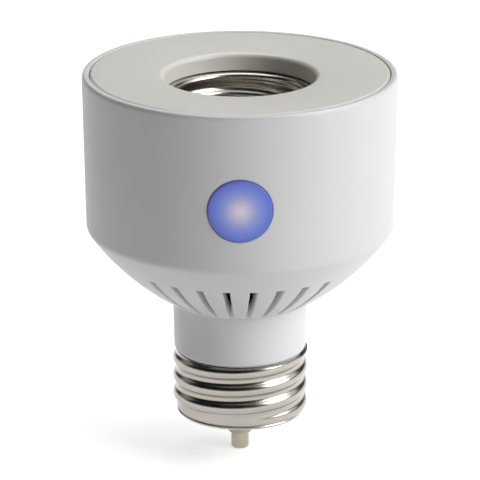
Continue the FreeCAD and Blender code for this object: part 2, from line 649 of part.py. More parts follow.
# Base shell: rolled-in rim below, plain band, thread, and a short plain edge above
RIM_ROUND = "0.5"
RIM_TURN = f"({THREAD_ROOT} - {RIM_ROUND})"
BAND_END = f"({SHELL_RIM} + shell_band)"
BASE_THREAD = f"({BAND_END} + thread_pitch / 8)"
base_halves = halves_between(BASE_THREAD, f"{SHELL_TOP} - 0.05")
band_inside = f"({THREAD_ROOT} - sheet_metal)"
base_screw_shell = new_body("base_screw_shell")
revolve(base_screw_shell, "base_sheet", [
    (RIM_END, SHELL_RIM),
    (RIM_TURN, SHELL_RIM, RIM_ROUND, "left"),
    (THREAD_ROOT, f"{SHELL_RIM} + {RIM_ROUND}"),
    (THREAD_ROOT, BAND_END),
    *rolled("0", BASE_THREAD, base_halves, True),
    (THREAD_MIDDLE, SHELL_TOP),
    (f"{THREAD_MIDDLE} - sheet_metal", SHELL_TOP),
    *rolled("(-sheet_metal)", BASE_THREAD, base_halves, False),
    (band_inside, BAND_END),
    (band_inside, f"{SHELL_RIM} + {RIM_ROUND}", f"{RIM_ROUND} - sheet_metal", "right"),
    (RIM_TURN, f"{SHELL_RIM} + sheet_metal"),
    (RIM_END, f"{SHELL_RIM} + sheet_metal"),
])

# Socket shell: thread from the cup's floor up, and a flange that lies on the cup
FLANGE_ROUND = "0.5"
SOCKET_MIDDLE = f"({THREAD_MIDDLE} + socket_play)"
SOCKET_THREAD = f"({CUP_INSIDE} + 0.1)"
WALL_TOP = f"({CUP_TOP} - {FLANGE_ROUND})"
FLANGE_TOP = f"({CUP_TOP} + sheet_metal)"
socket_halves = halves_between(SOCKET_THREAD, f"{WALL_TOP} - 0.1")
socket_outside = f"({SOCKET_MIDDLE} + sheet_metal)"
FLANGE_INSIDE = f"({socket_outside} + {FLANGE_ROUND})"
FLANGE_OUTSIDE = f"({FLANGE_INSIDE} + socket_flange)"
socket_screw_shell = new_body("socket_screw_shell")
revolve(socket_screw_shell, "socket_sheet", [
    (SOCKET_MIDDLE, CUP_INSIDE),
    (socket_outside, CUP_INSIDE),
    *rolled("socket_play + sheet_metal", SOCKET_THREAD, socket_halves, True),
    (socket_outside, WALL_TOP, FLANGE_ROUND, "right"),
    (FLANGE_INSIDE, CUP_TOP),
    (FLANGE_OUTSIDE, CUP_TOP),
    (FLANGE_OUTSIDE, FLANGE_TOP),
    (FLANGE_INSIDE, FLANGE_TOP, f"{FLANGE_ROUND} + sheet_metal", "left"),
    (SOCKET_MIDDLE, WALL_TOP),
    *rolled("socket_play", SOCKET_THREAD, socket_halves, False),
])


# Circuit boards and what they carry

def place(item, across, along, up, turn=0):
    """Put a piece at a place given by formulas, turned about Z by an angle in degrees."""
    item.Placement.Rotation = Rotation(Vector(0, 0, 1), turn)
    for axis, formula in (("x", across), ("y", along), ("z", up)):
        item.setExpression(f".Placement.Base.{axis}", named(formula))


def box(name, length, width, height):
    """Plain block whose sides are formulas."""
    item = doc.addObject("Part::Box", name)
    for side, formula in (("Length", length), ("Width", width), ("Height", height)):
        item.setExpression(side, named(formula))
    return item


def cylinder(name, radius, height):
    """Plain cylinder whose sizes are formulas."""
    item = doc.addObject("Part::Cylinder", name)
    item.setExpression("Radius", named(radius))
    item.setExpression("Height", named(height))
    return item


def labelled(item, label):
    item.Label = label
    return item


def fused(label, items):
    """One piece from several blocks that meet."""
    whole = doc.addObject("Part::MultiFuse", label)
    whole.Shapes = items
    return labelled(whole, label)


def softened(label, item, radius, chosen, kind="Part::Fillet"):
    """One piece with some of its edges rounded, or broken where kind is a chamfer."""
    doc.recompute()
    soft = doc.addObject(kind, label)
    soft.Base = item
    soft.Edges = [(i, radius, radius) for i, edge in enumerate(item.Shape.Edges, start=1) if chosen(edge)]
    return labelled(soft, label)


def ring_place(radius, angle, length, width):
    """Corner of a block of this length and width that is centred at a radius and an angle."""
    turn = angle + 90
    across = f"({radius}) * cos({angle}) - ({length}) / 2 * cos({turn}) + ({width}) / 2 * sin({turn})"
    along = f"({radius}) * sin({angle}) - ({length}) / 2 * sin({turn}) - ({width}) / 2 * cos({turn})"
    return across, along, turn


def level(edge):
    """Edge that lies in one level."""
    return edge.BoundBox.ZLength < TOUCH


RING = f"(({CUP_OUTSIDE} + {BODY_INSIDE}) / 2 - 0.7)"

main_board = new_body("main_board")
blank = new_sketch(main_board, "board_circle", "XY_Plane", BOARD_BOTTOM)
circle(blank, BOARD)
push(main_board, "board_blank", blank, length="board_thickness")
LEAD_HOLE = "(lead_diameter / 2 + 0.2)"
LINE_HOLE = ("8", "3.5")
NEUTRAL_HOLE = ("-8.5", "-3")
screw_hole = new_sketch(main_board, "screw_hole_circle", "XY_Plane", BOARD_TOP)
circle(screw_hole, "screw_diameter / 2 + clearance", "0", COLUMN_RING)
first_hole = push(main_board, "screw_hole", screw_hole, "PartDesign::Pocket", "board_thickness")
spread(main_board, "screw_holes", first_hole, "3")
lead_holes = new_sketch(main_board, "lead_hole_circles", "XY_Plane", BOARD_TOP)
circle(lead_holes, LEAD_HOLE, *LINE_HOLE)
circle(lead_holes, LEAD_HOLE, *NEUTRAL_HOLE)
push(main_board, "lead_holes", lead_holes, "PartDesign::Pocket", "board_thickness")

# Upright board behind the button: length, width and height of each block, and its lowest corner
BEHIND_BUTTON = (
    ("board_header", ("12", "2.2", "2.5"), ("-6", f"-{SWITCH_BOARD} - 2.2", BOARD_TOP), 0.3, UP),
    ("control_chip", ("4.4", "1.5", "6"), ("-11.5", f"-{SWITCH_BOARD} - 1.5", f"{BOARD_TOP} + 4"), 0.25,
     ACROSS),
    ("receiver_module", ("12", "11", "2.4"), ("-6.5", "-5.5", f"{BOARD_BOTTOM} - 2.4"), 0.6, UP),
)
for label, block_size, corner, rounding, axis in BEHIND_BUTTON:
    block = box(f"{label}_block", *block_size)
    place(block, *corner)
    softened(label, block, rounding, runs_along(axis))
button_board = box("button_board", "24", "1.2", f"{BUTTON_LEVEL} + 8.5 - {BOARD_TOP}")
labelled(button_board, "button_board")
place(button_board, "-12", f"-{SWITCH_BOARD}", BOARD_TOP)

LAMP = ("2.8", "0.9", "3.5")
lamps = []
for name, side in (("left_lamp", -1), ("right_lamp", 1)):
    lamp = box(name, *LAMP)
    across = f"{side} * (switch_width / 2 + 2) - {LAMP[0]} / 2"
    place(lamp, across, f"-{SWITCH_BOARD} - {LAMP[1]}", f"{BUTTON_LEVEL} - {LAMP[2]} / 2")
    lamps.append(lamp)
group = doc.addObject("Part::Compound", "button_leds")
group.Links = lamps
labelled(group, "button_leds")

# Components round the socket, square to the board's rim: length, width, height, angle, rounding
ROUND_THE_SOCKET = (
    ("relay", "18.5", "8.2", "15.3", 30, 0.6),
    ("film_capacitor", "13", "6", "12", 158, 0.5),
    ("rectifier", "4", "7", "8", 222, 0.4),
)
for label, length, width, height, angle, rounding in ROUND_THE_SOCKET:
    across, along, turn = ring_place(RING, angle, length, width)
    block = box(f"{label}_block", length, width, height)
    place(block, across, along, BOARD_TOP, turn)
    softened(label, block, rounding, runs_along(UP))

# Round components that stand beside them: radius, height, angle, broken edge
for label, radius, height, angle, bevel in (
    ("smoothing_capacitor", "4", "12.5", 122, 0.5),
    ("fuse", "1.8", "9.5", 350, 0.5),
):
    can = cylinder(f"{label}_can", radius, height)
    place(can, f"{RING} * cos({angle})", f"{RING} * sin({angle})", BOARD_TOP)
    softened(label, can, bevel, level, "Part::Chamfer")

CHOKE_ANGLE = 190
bobbin = []
for name, radius, low, high in (("foot", 3.6, 0, 1), ("winding", 2.8, 1, 7.5), ("cap", 3.6, 7.5, 8.5)):
    turn = cylinder(f"choke_{name}", str(radius), str(high - low))
    place(turn, f"{RING} * cos({CHOKE_ANGLE})", f"{RING} * sin({CHOKE_ANGLE})", f"{BOARD_TOP} + {low}")
    bobbin.append(turn)
fused("choke", bobbin)

# The varistor is a disc on its edge, with its flat sides along the board's rim
VARISTOR_RADIUS, VARISTOR_WIDTH, VARISTOR_ANGLE = 3.6, 3.2, 314
disc = cylinder("varistor_disc", str(VARISTOR_RADIUS), str(VARISTOR_WIDTH))
half_width = VARISTOR_WIDTH / 2
disc_across = f"{RING} * cos({VARISTOR_ANGLE}) - {half_width} * sin({VARISTOR_ANGLE})"
disc_along = f"{RING} * sin({VARISTOR_ANGLE}) + {half_width} * cos({VARISTOR_ANGLE})"
place(disc, disc_across, disc_along, f"{BOARD_TOP} + {VARISTOR_RADIUS}")
disc.Placement.Rotation = Rotation(Vector(0, 0, 1), VARISTOR_ANGLE) * Rotation(Vector(1, 0, 0), 90)
softened("varistor", disc, 0.8, lambda edge: len(edge.Vertexes) == 1, "Part::Chamfer")


# Small screws, in two groups of three

HEAD_HEIGHT = "1.4"


def pan_screws(label, ring, seat, held):
    """Three pan-head screws on one circle, their heads on seat, through what they hold."""
    screws = []
    length = f"({held} + screw_bite)"
    for angle in (90, 210, 330):
        spot = (f"{ring} * cos({angle})", f"{ring} * sin({angle})")
        head = cylinder(f"{label}_head_{angle}", "screw_diameter * 0.9", HEAD_HEIGHT)
        place(head, *spot, seat)
        reach = f"{length} + {HEAD_HEIGHT} / 2"
        shank = cylinder(f"{label}_shank_{angle}", "screw_diameter / 2 - 0.05", reach)
        place(shank, *spot, f"{seat} - {length}")
        whole = doc.addObject("Part::Fuse", f"{label}_{angle}")
        whole.Base = head
        whole.Tool = shank
        screws.append(whole)
    doc.recompute()
    group = doc.addObject("Part::Compound", label)
    group.Links = screws
    return labelled(group, label)


pan_screws("board_screws", COLUMN_RING, BOARD_TOP, "board_thickness")
pan_screws("neck_screws", EAR_RING, EAR_TOP, "ear_thickness")


# Insulated leads: straight runs joined by tangent arcs
TURN_SHARE = 0.45


def lead(label, route):
    """Round lead along a route of points, where each turn's arc takes TURN_SHARE of its shorter run."""
    points = [Vector(*(number(value) for value in point)) for point in route]
    edges = []
    start = points[0]
    for before, corner, after in zip(points, points[1:], points[2:]):
        back, ahead = (before - corner), (after - corner)
        cut = TURN_SHARE * min(back.Length, ahead.Length)
        back.normalize()
        ahead.normalize()
        enter, leave = corner + back * cut, corner + ahead * cut
        middle_way = back + ahead
        middle_way.normalize()
        half = math.acos(max(-1, min(1, -back.dot(ahead)))) / 2
        radius = cut / math.tan(half)
        print(label, "arc radius", round(radius, 1))
        top_of_arc = corner + middle_way * (radius / math.cos(half) - radius)
        edges.append(Part.LineSegment(start, enter).toShape())
        edges.append(Part.Arc(enter, top_of_arc, leave).toShape())
        start = leave
    edges.append(Part.LineSegment(start, points[-1]).toShape())
    path = Part.Wire(edges)
    direction = points[1] - points[0]
    ring = Part.Wire(Part.makeCircle(number("lead_diameter / 2"), points[0], direction))
    solid = path.makePipeShell([ring], True, False)
    area = math.pi * number("lead_diameter / 2") ** 2
    print(label, "volume", round(solid.Volume, 2), "expected", round(area * path.Length, 2))
    feature = doc.addObject("Part::Feature", label)
    feature.Shape = solid
    return labelled(feature, label)


lead("line_lead", [
    ("0", "0", CONTACT_TOP),
    ("0", "0", f"{CONTACT_TOP} + 5"),
    ("3.4", "1.6", f"{CONTACT_TOP} + 14"),
    ("6.6", "2.8", f"{CONTACT_TOP} + 23"),
    (*LINE_HOLE, f"{CONTACT_TOP} + 30"),
    (*LINE_HOLE, BOARD_TOP),
])
lead("neutral_lead", [
    ("-7.6", "-1", INSULATOR_TOP),
    ("-7.6", "-1", f"{INSULATOR_TOP} + 6"),
    ("-7.9", "-2.6", f"{INSULATOR_TOP} + 15"),
    ("-8.3", "-2.2", f"{INSULATOR_TOP} + 24"),
    (*NEUTRAL_HOLE, f"{INSULATOR_TOP} + 31"),
    (*NEUTRAL_HOLE, BOARD_TOP),
])

PIECES = (
    "housing", "top_cover", "neck", "base_screw_shell", "base_insulator", "base_contact",
    "socket_insulator", "socket_screw_shell", "contact_leaf", "contact_nub", "contact_rivet",
    "shell_terminal", "button_cap", "tact_switch", "tact_plunger", "button_leds", "button_board",
    "board_header", "control_chip", "main_board", "relay", "film_capacitor", "rectifier",
    "smoothing_capacitor", "choke", "varistor", "fuse", "receiver_module", "board_screws",
    "neck_screws", "line_lead", "neutral_lead",
)

doc.recompute()
failed = [item.Label for item in doc.Objects if "Invalid" in item.State or "Error" in item.State]
if failed:
    raise RuntimeError(f"these did not build: {failed}")
shapes = {name: doc.getObjectsByLabel(name)[0].Shape for name in PIECES}
for name, shape in shapes.items():
    if shape.isNull() or not shape.isValid() or not shape.Solids:
        raise RuntimeError(f"{name} is not a valid solid")
for name, shape in shapes.items():
    shape.exportStep(f"parts/{name}.step")
    print(f"{name}: {len(shape.Solids)} solid, {shape.Volume:.1f} mm3")
print(len(shapes), "pieces")
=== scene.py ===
import logging
import math
from dataclasses import dataclass
from enum import Enum

import bmesh
import bpy
import numpy as np
from bpy.types import ID, Material, Mesh, Node, NodeSocket, Object, World
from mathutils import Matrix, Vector


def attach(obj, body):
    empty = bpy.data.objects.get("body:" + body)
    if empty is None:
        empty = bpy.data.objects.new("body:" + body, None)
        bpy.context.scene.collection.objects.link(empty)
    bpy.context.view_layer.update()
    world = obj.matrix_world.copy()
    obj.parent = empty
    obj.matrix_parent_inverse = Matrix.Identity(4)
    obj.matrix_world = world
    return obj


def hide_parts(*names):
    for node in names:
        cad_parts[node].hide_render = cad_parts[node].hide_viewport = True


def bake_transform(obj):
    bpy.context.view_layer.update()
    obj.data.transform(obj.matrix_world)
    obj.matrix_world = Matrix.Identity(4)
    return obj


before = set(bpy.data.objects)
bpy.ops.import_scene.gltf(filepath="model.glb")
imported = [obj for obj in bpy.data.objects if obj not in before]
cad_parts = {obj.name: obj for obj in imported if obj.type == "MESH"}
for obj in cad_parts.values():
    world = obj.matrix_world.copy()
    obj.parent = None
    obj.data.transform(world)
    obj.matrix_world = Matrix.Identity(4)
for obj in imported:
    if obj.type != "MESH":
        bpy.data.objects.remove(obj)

LOG = logging.getLogger("lamp_socket_adapter")
MM = 0.001
TURN = 2 * math.pi
Array = np.ndarray
Pair = tuple[float, float]
Triple = tuple[float, float, float]
Holder = Material | World
# Steps of a full turn for plain turned pieces
ROUND_STEPS = 192
# Points on a quarter circle or on the rounding of a corner
BEND_POINTS = 12
CORNER_POINTS = 8
# Edges that turn by more than these angles, in radians, stay sharp: on new pieces, on copies of solids
NEW_SHARP = 0.6
COPY_SHARP = math.radians(34)


# Meshes worked out as arrays

def add_object(name: str, data: ID) -> Object:
    """Object with some data, linked to the scene."""
    item = bpy.data.objects.new(name, data)
    bpy.context.scene.collection.objects.link(item)
    return item


def merge_doubles(source: Mesh, mesh: Mesh, distance: float, sharp: float,
                  outwards: bool) -> None:
    """Write a source's faces into a mesh with its doubles merged, and shade it smooth up to an angle.

    Args:
        source: the mesh that is read.
        mesh: the mesh that is written, which may be the same.
        distance: points nearer to each other than this, in metres, become one.
        sharp: edges that turn by more than this, in radians, stay sharp.
        outwards: turn all faces outwards.
    """
    work = bmesh.new()
    work.from_mesh(source)
    bmesh.ops.remove_doubles(work, verts=work.verts, dist=distance)
    if outwards:
        bmesh.ops.recalc_face_normals(work, faces=work.faces)
    work.to_mesh(mesh)
    work.free()
    if "custom_normal" in mesh.attributes:
        mesh.attributes.remove(mesh.attributes["custom_normal"])
    mesh.shade_smooth()
    mesh.set_sharp_from_angle(angle=sharp)


def put_mesh(name: str, points: Array, quads: Array) -> Object:
    """Make an object from points and quads, with its doubles merged and its faces pointing outwards.

    Args:
        name: name of the piece.
        points: corner points in millimetres.
        quads: four point numbers to a row.

    Returns:
        The object, at the origin, in metres.
    """
    mesh = bpy.data.meshes.new(name)
    mesh.vertices.add(points.size // 3)
    mesh.vertices.foreach_set("co", (points * MM).astype(np.float32).ravel())
    mesh.loops.add(quads.size)
    mesh.loops.foreach_set("vertex_index", quads.astype(np.int32).ravel())
    mesh.polygons.add(len(quads))
    mesh.polygons.foreach_set("loop_start", np.arange(0, quads.size, 4, dtype=np.int32))
    mesh.update(calc_edges=True)
    merge_doubles(mesh, mesh, 1e-7, NEW_SHARP, True)
    return add_object(name, mesh)


def grid_quads(rows: int, columns: int, wrap_rows: bool, wrap_columns: bool) -> Array:
    """Quads between neighbours of a grid of points.

    Args:
        rows: points along the first parameter.
        columns: points along the second parameter.
        wrap_rows: the last row joins the first.
        wrap_columns: the last column joins the first.

    Returns:
        Four point numbers to a row.
    """
    here = np.arange(rows if wrap_rows else rows - 1)[:, None]
    left = np.arange(columns if wrap_columns else columns - 1)[None, :]
    there, right = (here + 1) % rows, (left + 1) % columns
    corners = ((here, left), (there, left), (there, right), (here, right))
    return np.stack([(row * columns + column).ravel() for row, column in corners], axis=1)


def points_from(*coordinates: Array | float) -> Array:
    """Points whose coordinates are arrays, or values, that spread to one shape."""
    return np.stack(np.broadcast_arrays(*coordinates), axis=-1)


def even_angles(count: int) -> Array:
    """Angles that divide a turn into equal steps, in radians."""
    return np.arange(count) * TURN / count


def smooth(share: Array) -> Array:
    """Rise from 0 to 1 with level ends: 3 s^2 - 2 s^3, s held between 0 and 1."""
    share = np.clip(share, 0.0, 1.0)
    return share * share * (3.0 - 2.0 * share)


def subdivided(lines: list[float] | Array, step: float) -> Array:
    """Keep a sorted row of values and divide each gap into equal parts no longer than a step."""
    parts = np.maximum(np.ceil(np.diff(lines) / step - 1e-9), 1)
    marks = np.concatenate([[0], np.cumsum(parts)])
    return np.interp(np.arange(marks[-1] + 1), marks, lines)


def turned(name: str, section: Array, closed: bool = True) -> Object:
    """Carry a section round the Z axis: x = r cos t, y = r sin t, z = z.

    Args:
        name: name of the piece.
        section: (radius, height) points in millimetres, one outline for all angles or one for each.
        closed: the last point of an outline joins the first.

    Returns:
        The new object.
    """
    if section.ndim == 2:
        section = np.broadcast_to(section, (ROUND_STEPS, *section.shape))
    angle = even_angles(len(section))[:, None]
    points = points_from(section[..., 0] * np.cos(angle), section[..., 0] * np.sin(angle), section[..., 1])
    return put_mesh(name, points, grid_quads(*section.shape[:2], True, closed))


def rounded_profile(corners: list[tuple[float, ...]]) -> Array:
    """Closed outline whose corners are rounded by arcs tangent to both sides.

    A corner of radius R whose sides open by the angle b is cut back by R / tan(b/2) along each side, and
    the arc between is worked out from its centre on the bisector.

    Args:
        corners: (across, up) or (across, up, radius) of each corner, in order.

    Returns:
        The outline's points, one row each.
    """
    flat = np.array([corner[:2] for corner in corners], float)
    share = np.linspace(0, 1, CORNER_POINTS)[:, None]
    pieces = []
    for index, corner in enumerate(corners):
        here = flat[index]
        if len(corner) < 3:
            pieces.append(here[None, :])
            continue
        radius = corner[2]
        back, ahead = flat[index - 1] - here, flat[(index + 1) % len(flat)] - here
        back, ahead = back / np.linalg.norm(back), ahead / np.linalg.norm(ahead)
        opening = math.acos(float(back @ ahead))
        cut = radius / math.tan(opening / 2)
        bisector = (back + ahead) / np.linalg.norm(back + ahead)
        centre = here + bisector * radius / math.sin(opening / 2)
        start, end = here + back * cut - centre, here + ahead * cut - centre
        sweep = math.acos(float(start @ end) / radius ** 2)
        arc = (np.sin((1 - share) * sweep) * start + np.sin(share * sweep) * end) / math.sin(sweep)
        pieces.append(centre + arc)
    return np.concatenate(pieces)


def eased_copy(node: str, name: str, width: float = 0.0) -> Object:
    """Copy a CAD node as one merged mesh whose sharp edges are broken by a narrow round.

    The mould leaves such a round on every edge of the real piece, and it catches the light.

    Args:
        node: the CAD node.
        name: name of the copy.
        width: width of the round in millimetres, or 0 for none.

    Returns:
        The copy, with a live bevel where it has a round.
    """
    mesh = bpy.data.meshes.new(name)
    merge_doubles(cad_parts[node].data, mesh, 2e-6, COPY_SHARP, False)
    piece = add_object(name, mesh)
    if width > 0:
        bevel = piece.modifiers.new("broken_edges", "BEVEL")
        bevel.limit_method = "ANGLE"
        bevel.angle_limit = COPY_SHARP
        bevel.width = width * MM
        bevel.segments = 2
        bevel.use_clamp_overlap = False
        bevel.harden_normals = True
    return piece


# Materials

def linear(hexadecimal: str) -> tuple[float, ...]:
    """Linear colour of an sRGB hex value such as "d8d6d0"."""
    channels = [int(hexadecimal[i:i + 2], 16) / 255 for i in (0, 2, 4)]
    return (*(c / 12.92 if c <= 0.04045 else ((c + 0.055) / 1.055) ** 2.4 for c in channels), 1.0)


def cleared(holder: Holder) -> Holder:
    """Material or world with an empty node tree."""
    holder.use_nodes = True
    holder.node_tree.nodes.clear()
    return holder


def add_node(holder: Holder, kind: str,
             inputs: dict[str | int, object] | None = None, **settings: object) -> Node:
    """Add one node with its settings and its inputs.

    Args:
        holder: the material or the world that gets the node.
        kind: Blender's name of the node type, without "ShaderNode".
        inputs: values, or output sockets to link, for the node's input sockets.
        settings: values of the node's own properties.

    Returns:
        The new node.
    """
    node = holder.node_tree.nodes.new("ShaderNode" + kind)
    for key, value in settings.items():
        setattr(node, key, value)
    for socket, value in (inputs or {}).items():
        if isinstance(value, NodeSocket):
            holder.node_tree.links.new(value, node.inputs[socket])
        else:
            node.inputs[socket].default_value = value
    return node


def fill_ramp(node: Node, stops: list[tuple[float, str]]) -> None:
    """Set the stops of a new colour ramp.

    Args:
        node: the ramp node.
        stops: place from 0 to 1 and sRGB hex colour of each stop.
    """
    ramp = node.color_ramp
    for index, (place, colour) in enumerate(stops):
        element = ramp.elements[index] if index < 2 else ramp.elements.new(place)
        element.position = place
        element.color = linear(colour)


@dataclass(frozen=True)
class Finish:
    """A finish whose colour drifts a little and whose surface has a fine grain.

    Attributes:
        name: the material's name.
        colour, drift: sRGB hex colours, of the surface and of the broad clouds that it drifts towards.
        roughness, swing: roughness of the surface, and how far it goes either way in the grain.
        grain_mm, bump: width and height of the grain, in millimetres.
        metallic, coat: 1 for bare metal, and weight of a clear coat.
        stretch: how far the grain is stretched along X, Y and Z.
    """

    name: str
    colour: str
    drift: str
    roughness: float
    grain_mm: float
    bump: float
    swing: float = 0.04
    metallic: float = 0.0
    coat: float = 0.0
    stretch: Triple = (1.0, 1.0, 1.0)

    def build(self) -> Material:
        """Make the material.

        Returns:
            The material.
        """
        material = cleared(bpy.data.materials.new(self.name))
        place = add_node(material, "TexCoord")
        mapping = add_node(material, "Mapping", {
            "Vector": place.outputs["Object"], "Scale": tuple(1 / value for value in self.stretch)})
        clouds = add_node(material, "TexNoise", {
            "Vector": mapping.outputs[0], "Scale": 90.0, "Detail": 3.0, "Roughness": 0.55})
        tint = add_node(material, "ValToRGB", {"Fac": clouds.outputs["Fac"]})
        fill_ramp(tint, [(0.35, self.colour), (0.7, self.drift)])
        grain = add_node(material, "TexNoise", {
            "Vector": mapping.outputs[0], "Scale": 1 / (self.grain_mm * MM), "Detail": 4.0,
            "Roughness": 0.6})
        gloss = add_node(material, "MapRange", {
            "Value": grain.outputs["Fac"], "To Min": self.roughness - self.swing,
            "To Max": self.roughness + self.swing})
        bump = add_node(material, "Bump", {
            "Height": grain.outputs["Fac"], "Strength": 1.0, "Distance": self.bump * MM})
        shader = add_node(material, "BsdfPrincipled", {
            "Base Color": tint.outputs["Color"], "Roughness": gloss.outputs[0], "Normal": bump.outputs[0],
            "Metallic": self.metallic, "Coat Weight": self.coat, "IOR": 1.5})
        add_node(material, "OutputMaterial", {"Surface": shader.outputs[0]})
        return material


# Moulded ABS with a fine satin surface from the mould: pale, neutral, soft highlights
HOUSING_ABS = Finish("abs_satin_pale", "dedede", "dcdcdd", 0.42, 0.3, 0.003)
# The same ABS from another mould, a little warmer and smoother
COVER_ABS = Finish("abs_satin_warm", "e1dfd9", "dedcd5", 0.40, 0.35, 0.003)
# ABS of the neck with painted light: a copy of the housing's ABS made a little brighter and cooler, standing
# in for the light and cool reflection on its upright wall
NECK_ABS_PAINTED_LIGHT = Finish("abs_satin_painted_cool_light", "e5e5e7", "e2e2e4", 0.36, 0.3, 0.002)
# Pressed thermosets: the base's insulator is pale, dry and matt, and the socket's cup is white
BASE_THERMOSET = Finish("urea_thermoset", "d0d1ca", "cccdc6", 0.6, 0.25, 0.006)
SOCKET_THERMOSET = Finish("melamine_white", "e0ded8", "d8d6d0", 0.55, 0.25, 0.005)
# Bright nickel on rolled brass sheet: warm grey, sharp reflections broken by fine drawing marks
NICKEL = Finish("nickel_on_brass", "b6b2ab", "aeaaa2", 0.24, 0.18, 0.003, 0.05, 1.0)
# Tinned centre contact, yellower than the nickel, with marks of turning along its length
TINNED_BRASS = Finish("tinned_brass", "b4af9f", "aaa593", 0.17, 0.2, 0.002, 0.05, 1.0, stretch=(1, 1, 5))
# Half-hard brass springs, rolled and stamped, with the grain of the strip
SPRING_BRASS = Finish("brass_half_hard", "cfae6a", "c2a05c", 0.3, 0.3, 0.002, 0.06, 1.0, stretch=(6, 1, 1))
# Nylon and epoxy of the switch, the chip, the relay and the header
BLACK_NYLON = Finish("nylon_black", "1c1c1e", "222224", 0.5, 0.25, 0.006)
CREAM_NYLON = Finish("nylon_cream", "d8d2be", "d0cab5", 0.45, 0.25, 0.004)
# Boards of glass laminate under a green solder mask
SOLDER_MASK = Finish("laminate_green", "1f5a34", "1a4f2e", 0.35, 0.5, 0.004, coat=0.3)
# The button's lamps and the components on the boards
LAMP_CLEAR = Finish("lens_clear", "f2efdc", "ece8d2", 0.15, 0.5, 0.001, coat=0.6)
FILM_BOX = Finish("polypropylene_amber", "c98a2c", "c08226", 0.4, 0.35, 0.004)
CAN_SLEEVE = Finish("shrunk_sleeve_blue", "1d2548", "222b52", 0.3, 0.8, 0.006, coat=0.2)
FERRITE = Finish("ferrite_pressed", "303033", "3a3a3d", 0.6, 0.2, 0.01)
DISC_EPOXY = Finish("epoxy_dipped_blue", "2d56a0", "274b90", 0.35, 0.6, 0.01)
FUSE_LACQUER = Finish("lacquer_brown", "5a4330", "523c2b", 0.3, 0.4, 0.004, coat=0.4)
# Drawn tin plate of the receiver's shield, and zinc-plated screws
TIN_PLATE = Finish("tin_plate_drawn", "c6c6c2", "bababa", 0.25, 0.3, 0.002, metallic=1.0)
ZINC_STEEL = Finish("zinc_plated_steel", "b6b8bc", "a8aaae", 0.28, 0.2, 0.003, metallic=1.0)
# PVC insulation of the leads
PVC_BLACK = Finish("pvc_black", "17171a", "1d1d20", 0.45, 0.4, 0.004)
PVC_WHITE = Finish("pvc_white", "e4e4e0", "dddcd8", 0.45, 0.4, 0.004)


@dataclass(frozen=True)
class LitCap:
    """Tinted translucent cap with painted glow and shade: pale in the middle, where the lamp behind it
    shines through, deep blue at the shaded edge.

    Attributes:
        name: the material's name.
        centre, radius: the cap's centre and radius in millimetres.
        glow: strength of the painted glow that the cap gives off itself, in place of the light that comes
            through.
    """

    name: str
    centre: Triple
    radius: float
    glow: float

    def build(self) -> Material:
        """Make the material.

        Returns:
            The material.
        """
        material = cleared(bpy.data.materials.new(self.name))
        place = add_node(material, "TexCoord")
        x, _, z = (value * MM for value in self.centre)
        spot = add_node(material, "Mapping", {
            "Vector": place.outputs["Object"], "Location": (-x / self.radius / MM, 0, -z / self.radius / MM),
            "Scale": (1 / self.radius / MM, 0.0, 1 / self.radius / MM)})
        reach = add_node(material, "VectorMath", {0: spot.outputs[0]}, operation="LENGTH")
        # Painted glow and shade: the lamp's light through the middle and the darker edge of the rounded rim
        # are painted into this ramp, which also drives the emission
        tint = add_node(material, "ValToRGB", {"Fac": reach.outputs["Value"]})
        fill_ramp(tint, [(0.0, "d9d0d6"), (0.2, "c4bcd4"), (0.42, "98a0d0"), (0.62, "7a8ad0"),
                         (0.85, "6576cf"), (0.96, "5a68c0"), (1.0, "5560a8")])
        tint.color_ramp.interpolation = "B_SPLINE"
        shader = add_node(material, "BsdfPrincipled", {
            "Base Color": tint.outputs["Color"], "Roughness": 0.5, "Emission Color": tint.outputs["Color"],
            "Emission Strength": self.glow, "IOR": 1.49})
        add_node(material, "OutputMaterial", {"Surface": shader.outputs[0]})
        return material


class Body(Enum):
    """Bodies that pieces ride on."""

    FIXED = "root"
    CONTACT = "contact"


def cover_with(piece: Object, material: Material) -> None:
    """Give a piece one material in place of what it has."""
    piece.data.materials.clear()
    piece.data.materials.append(material)


def finish_piece(piece: Object, material: Material, slot: str, *nodes: str,
                 rides: bool = True) -> Object:
    """Give a new piece its material and the nodes that it stands for.

    Args:
        piece: the new piece.
        material: its material.
        slot: the record's material slot, not used.
        nodes: CAD nodes that it replaces.
        rides: it stays with the fixed body as a whole.

    Returns:
        The same piece.
    """
    cover_with(piece, material)
    if rides:
        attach(piece, Body.FIXED.value)
    if nodes:
        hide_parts(*nodes)
    LOG.info("%s: made in %s, stands for %s", piece.name, material.name, ", ".join(nodes) or "no node")
    return piece


def dress_node(node: str, material: Material) -> None:
    """Give a CAD node a finished material.

    Args:
        node: the node's name.
        material: the material.
    """
    cover_with(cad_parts[node], material)
    LOG.info("%s: kept from the frame, in %s", node, material.name)


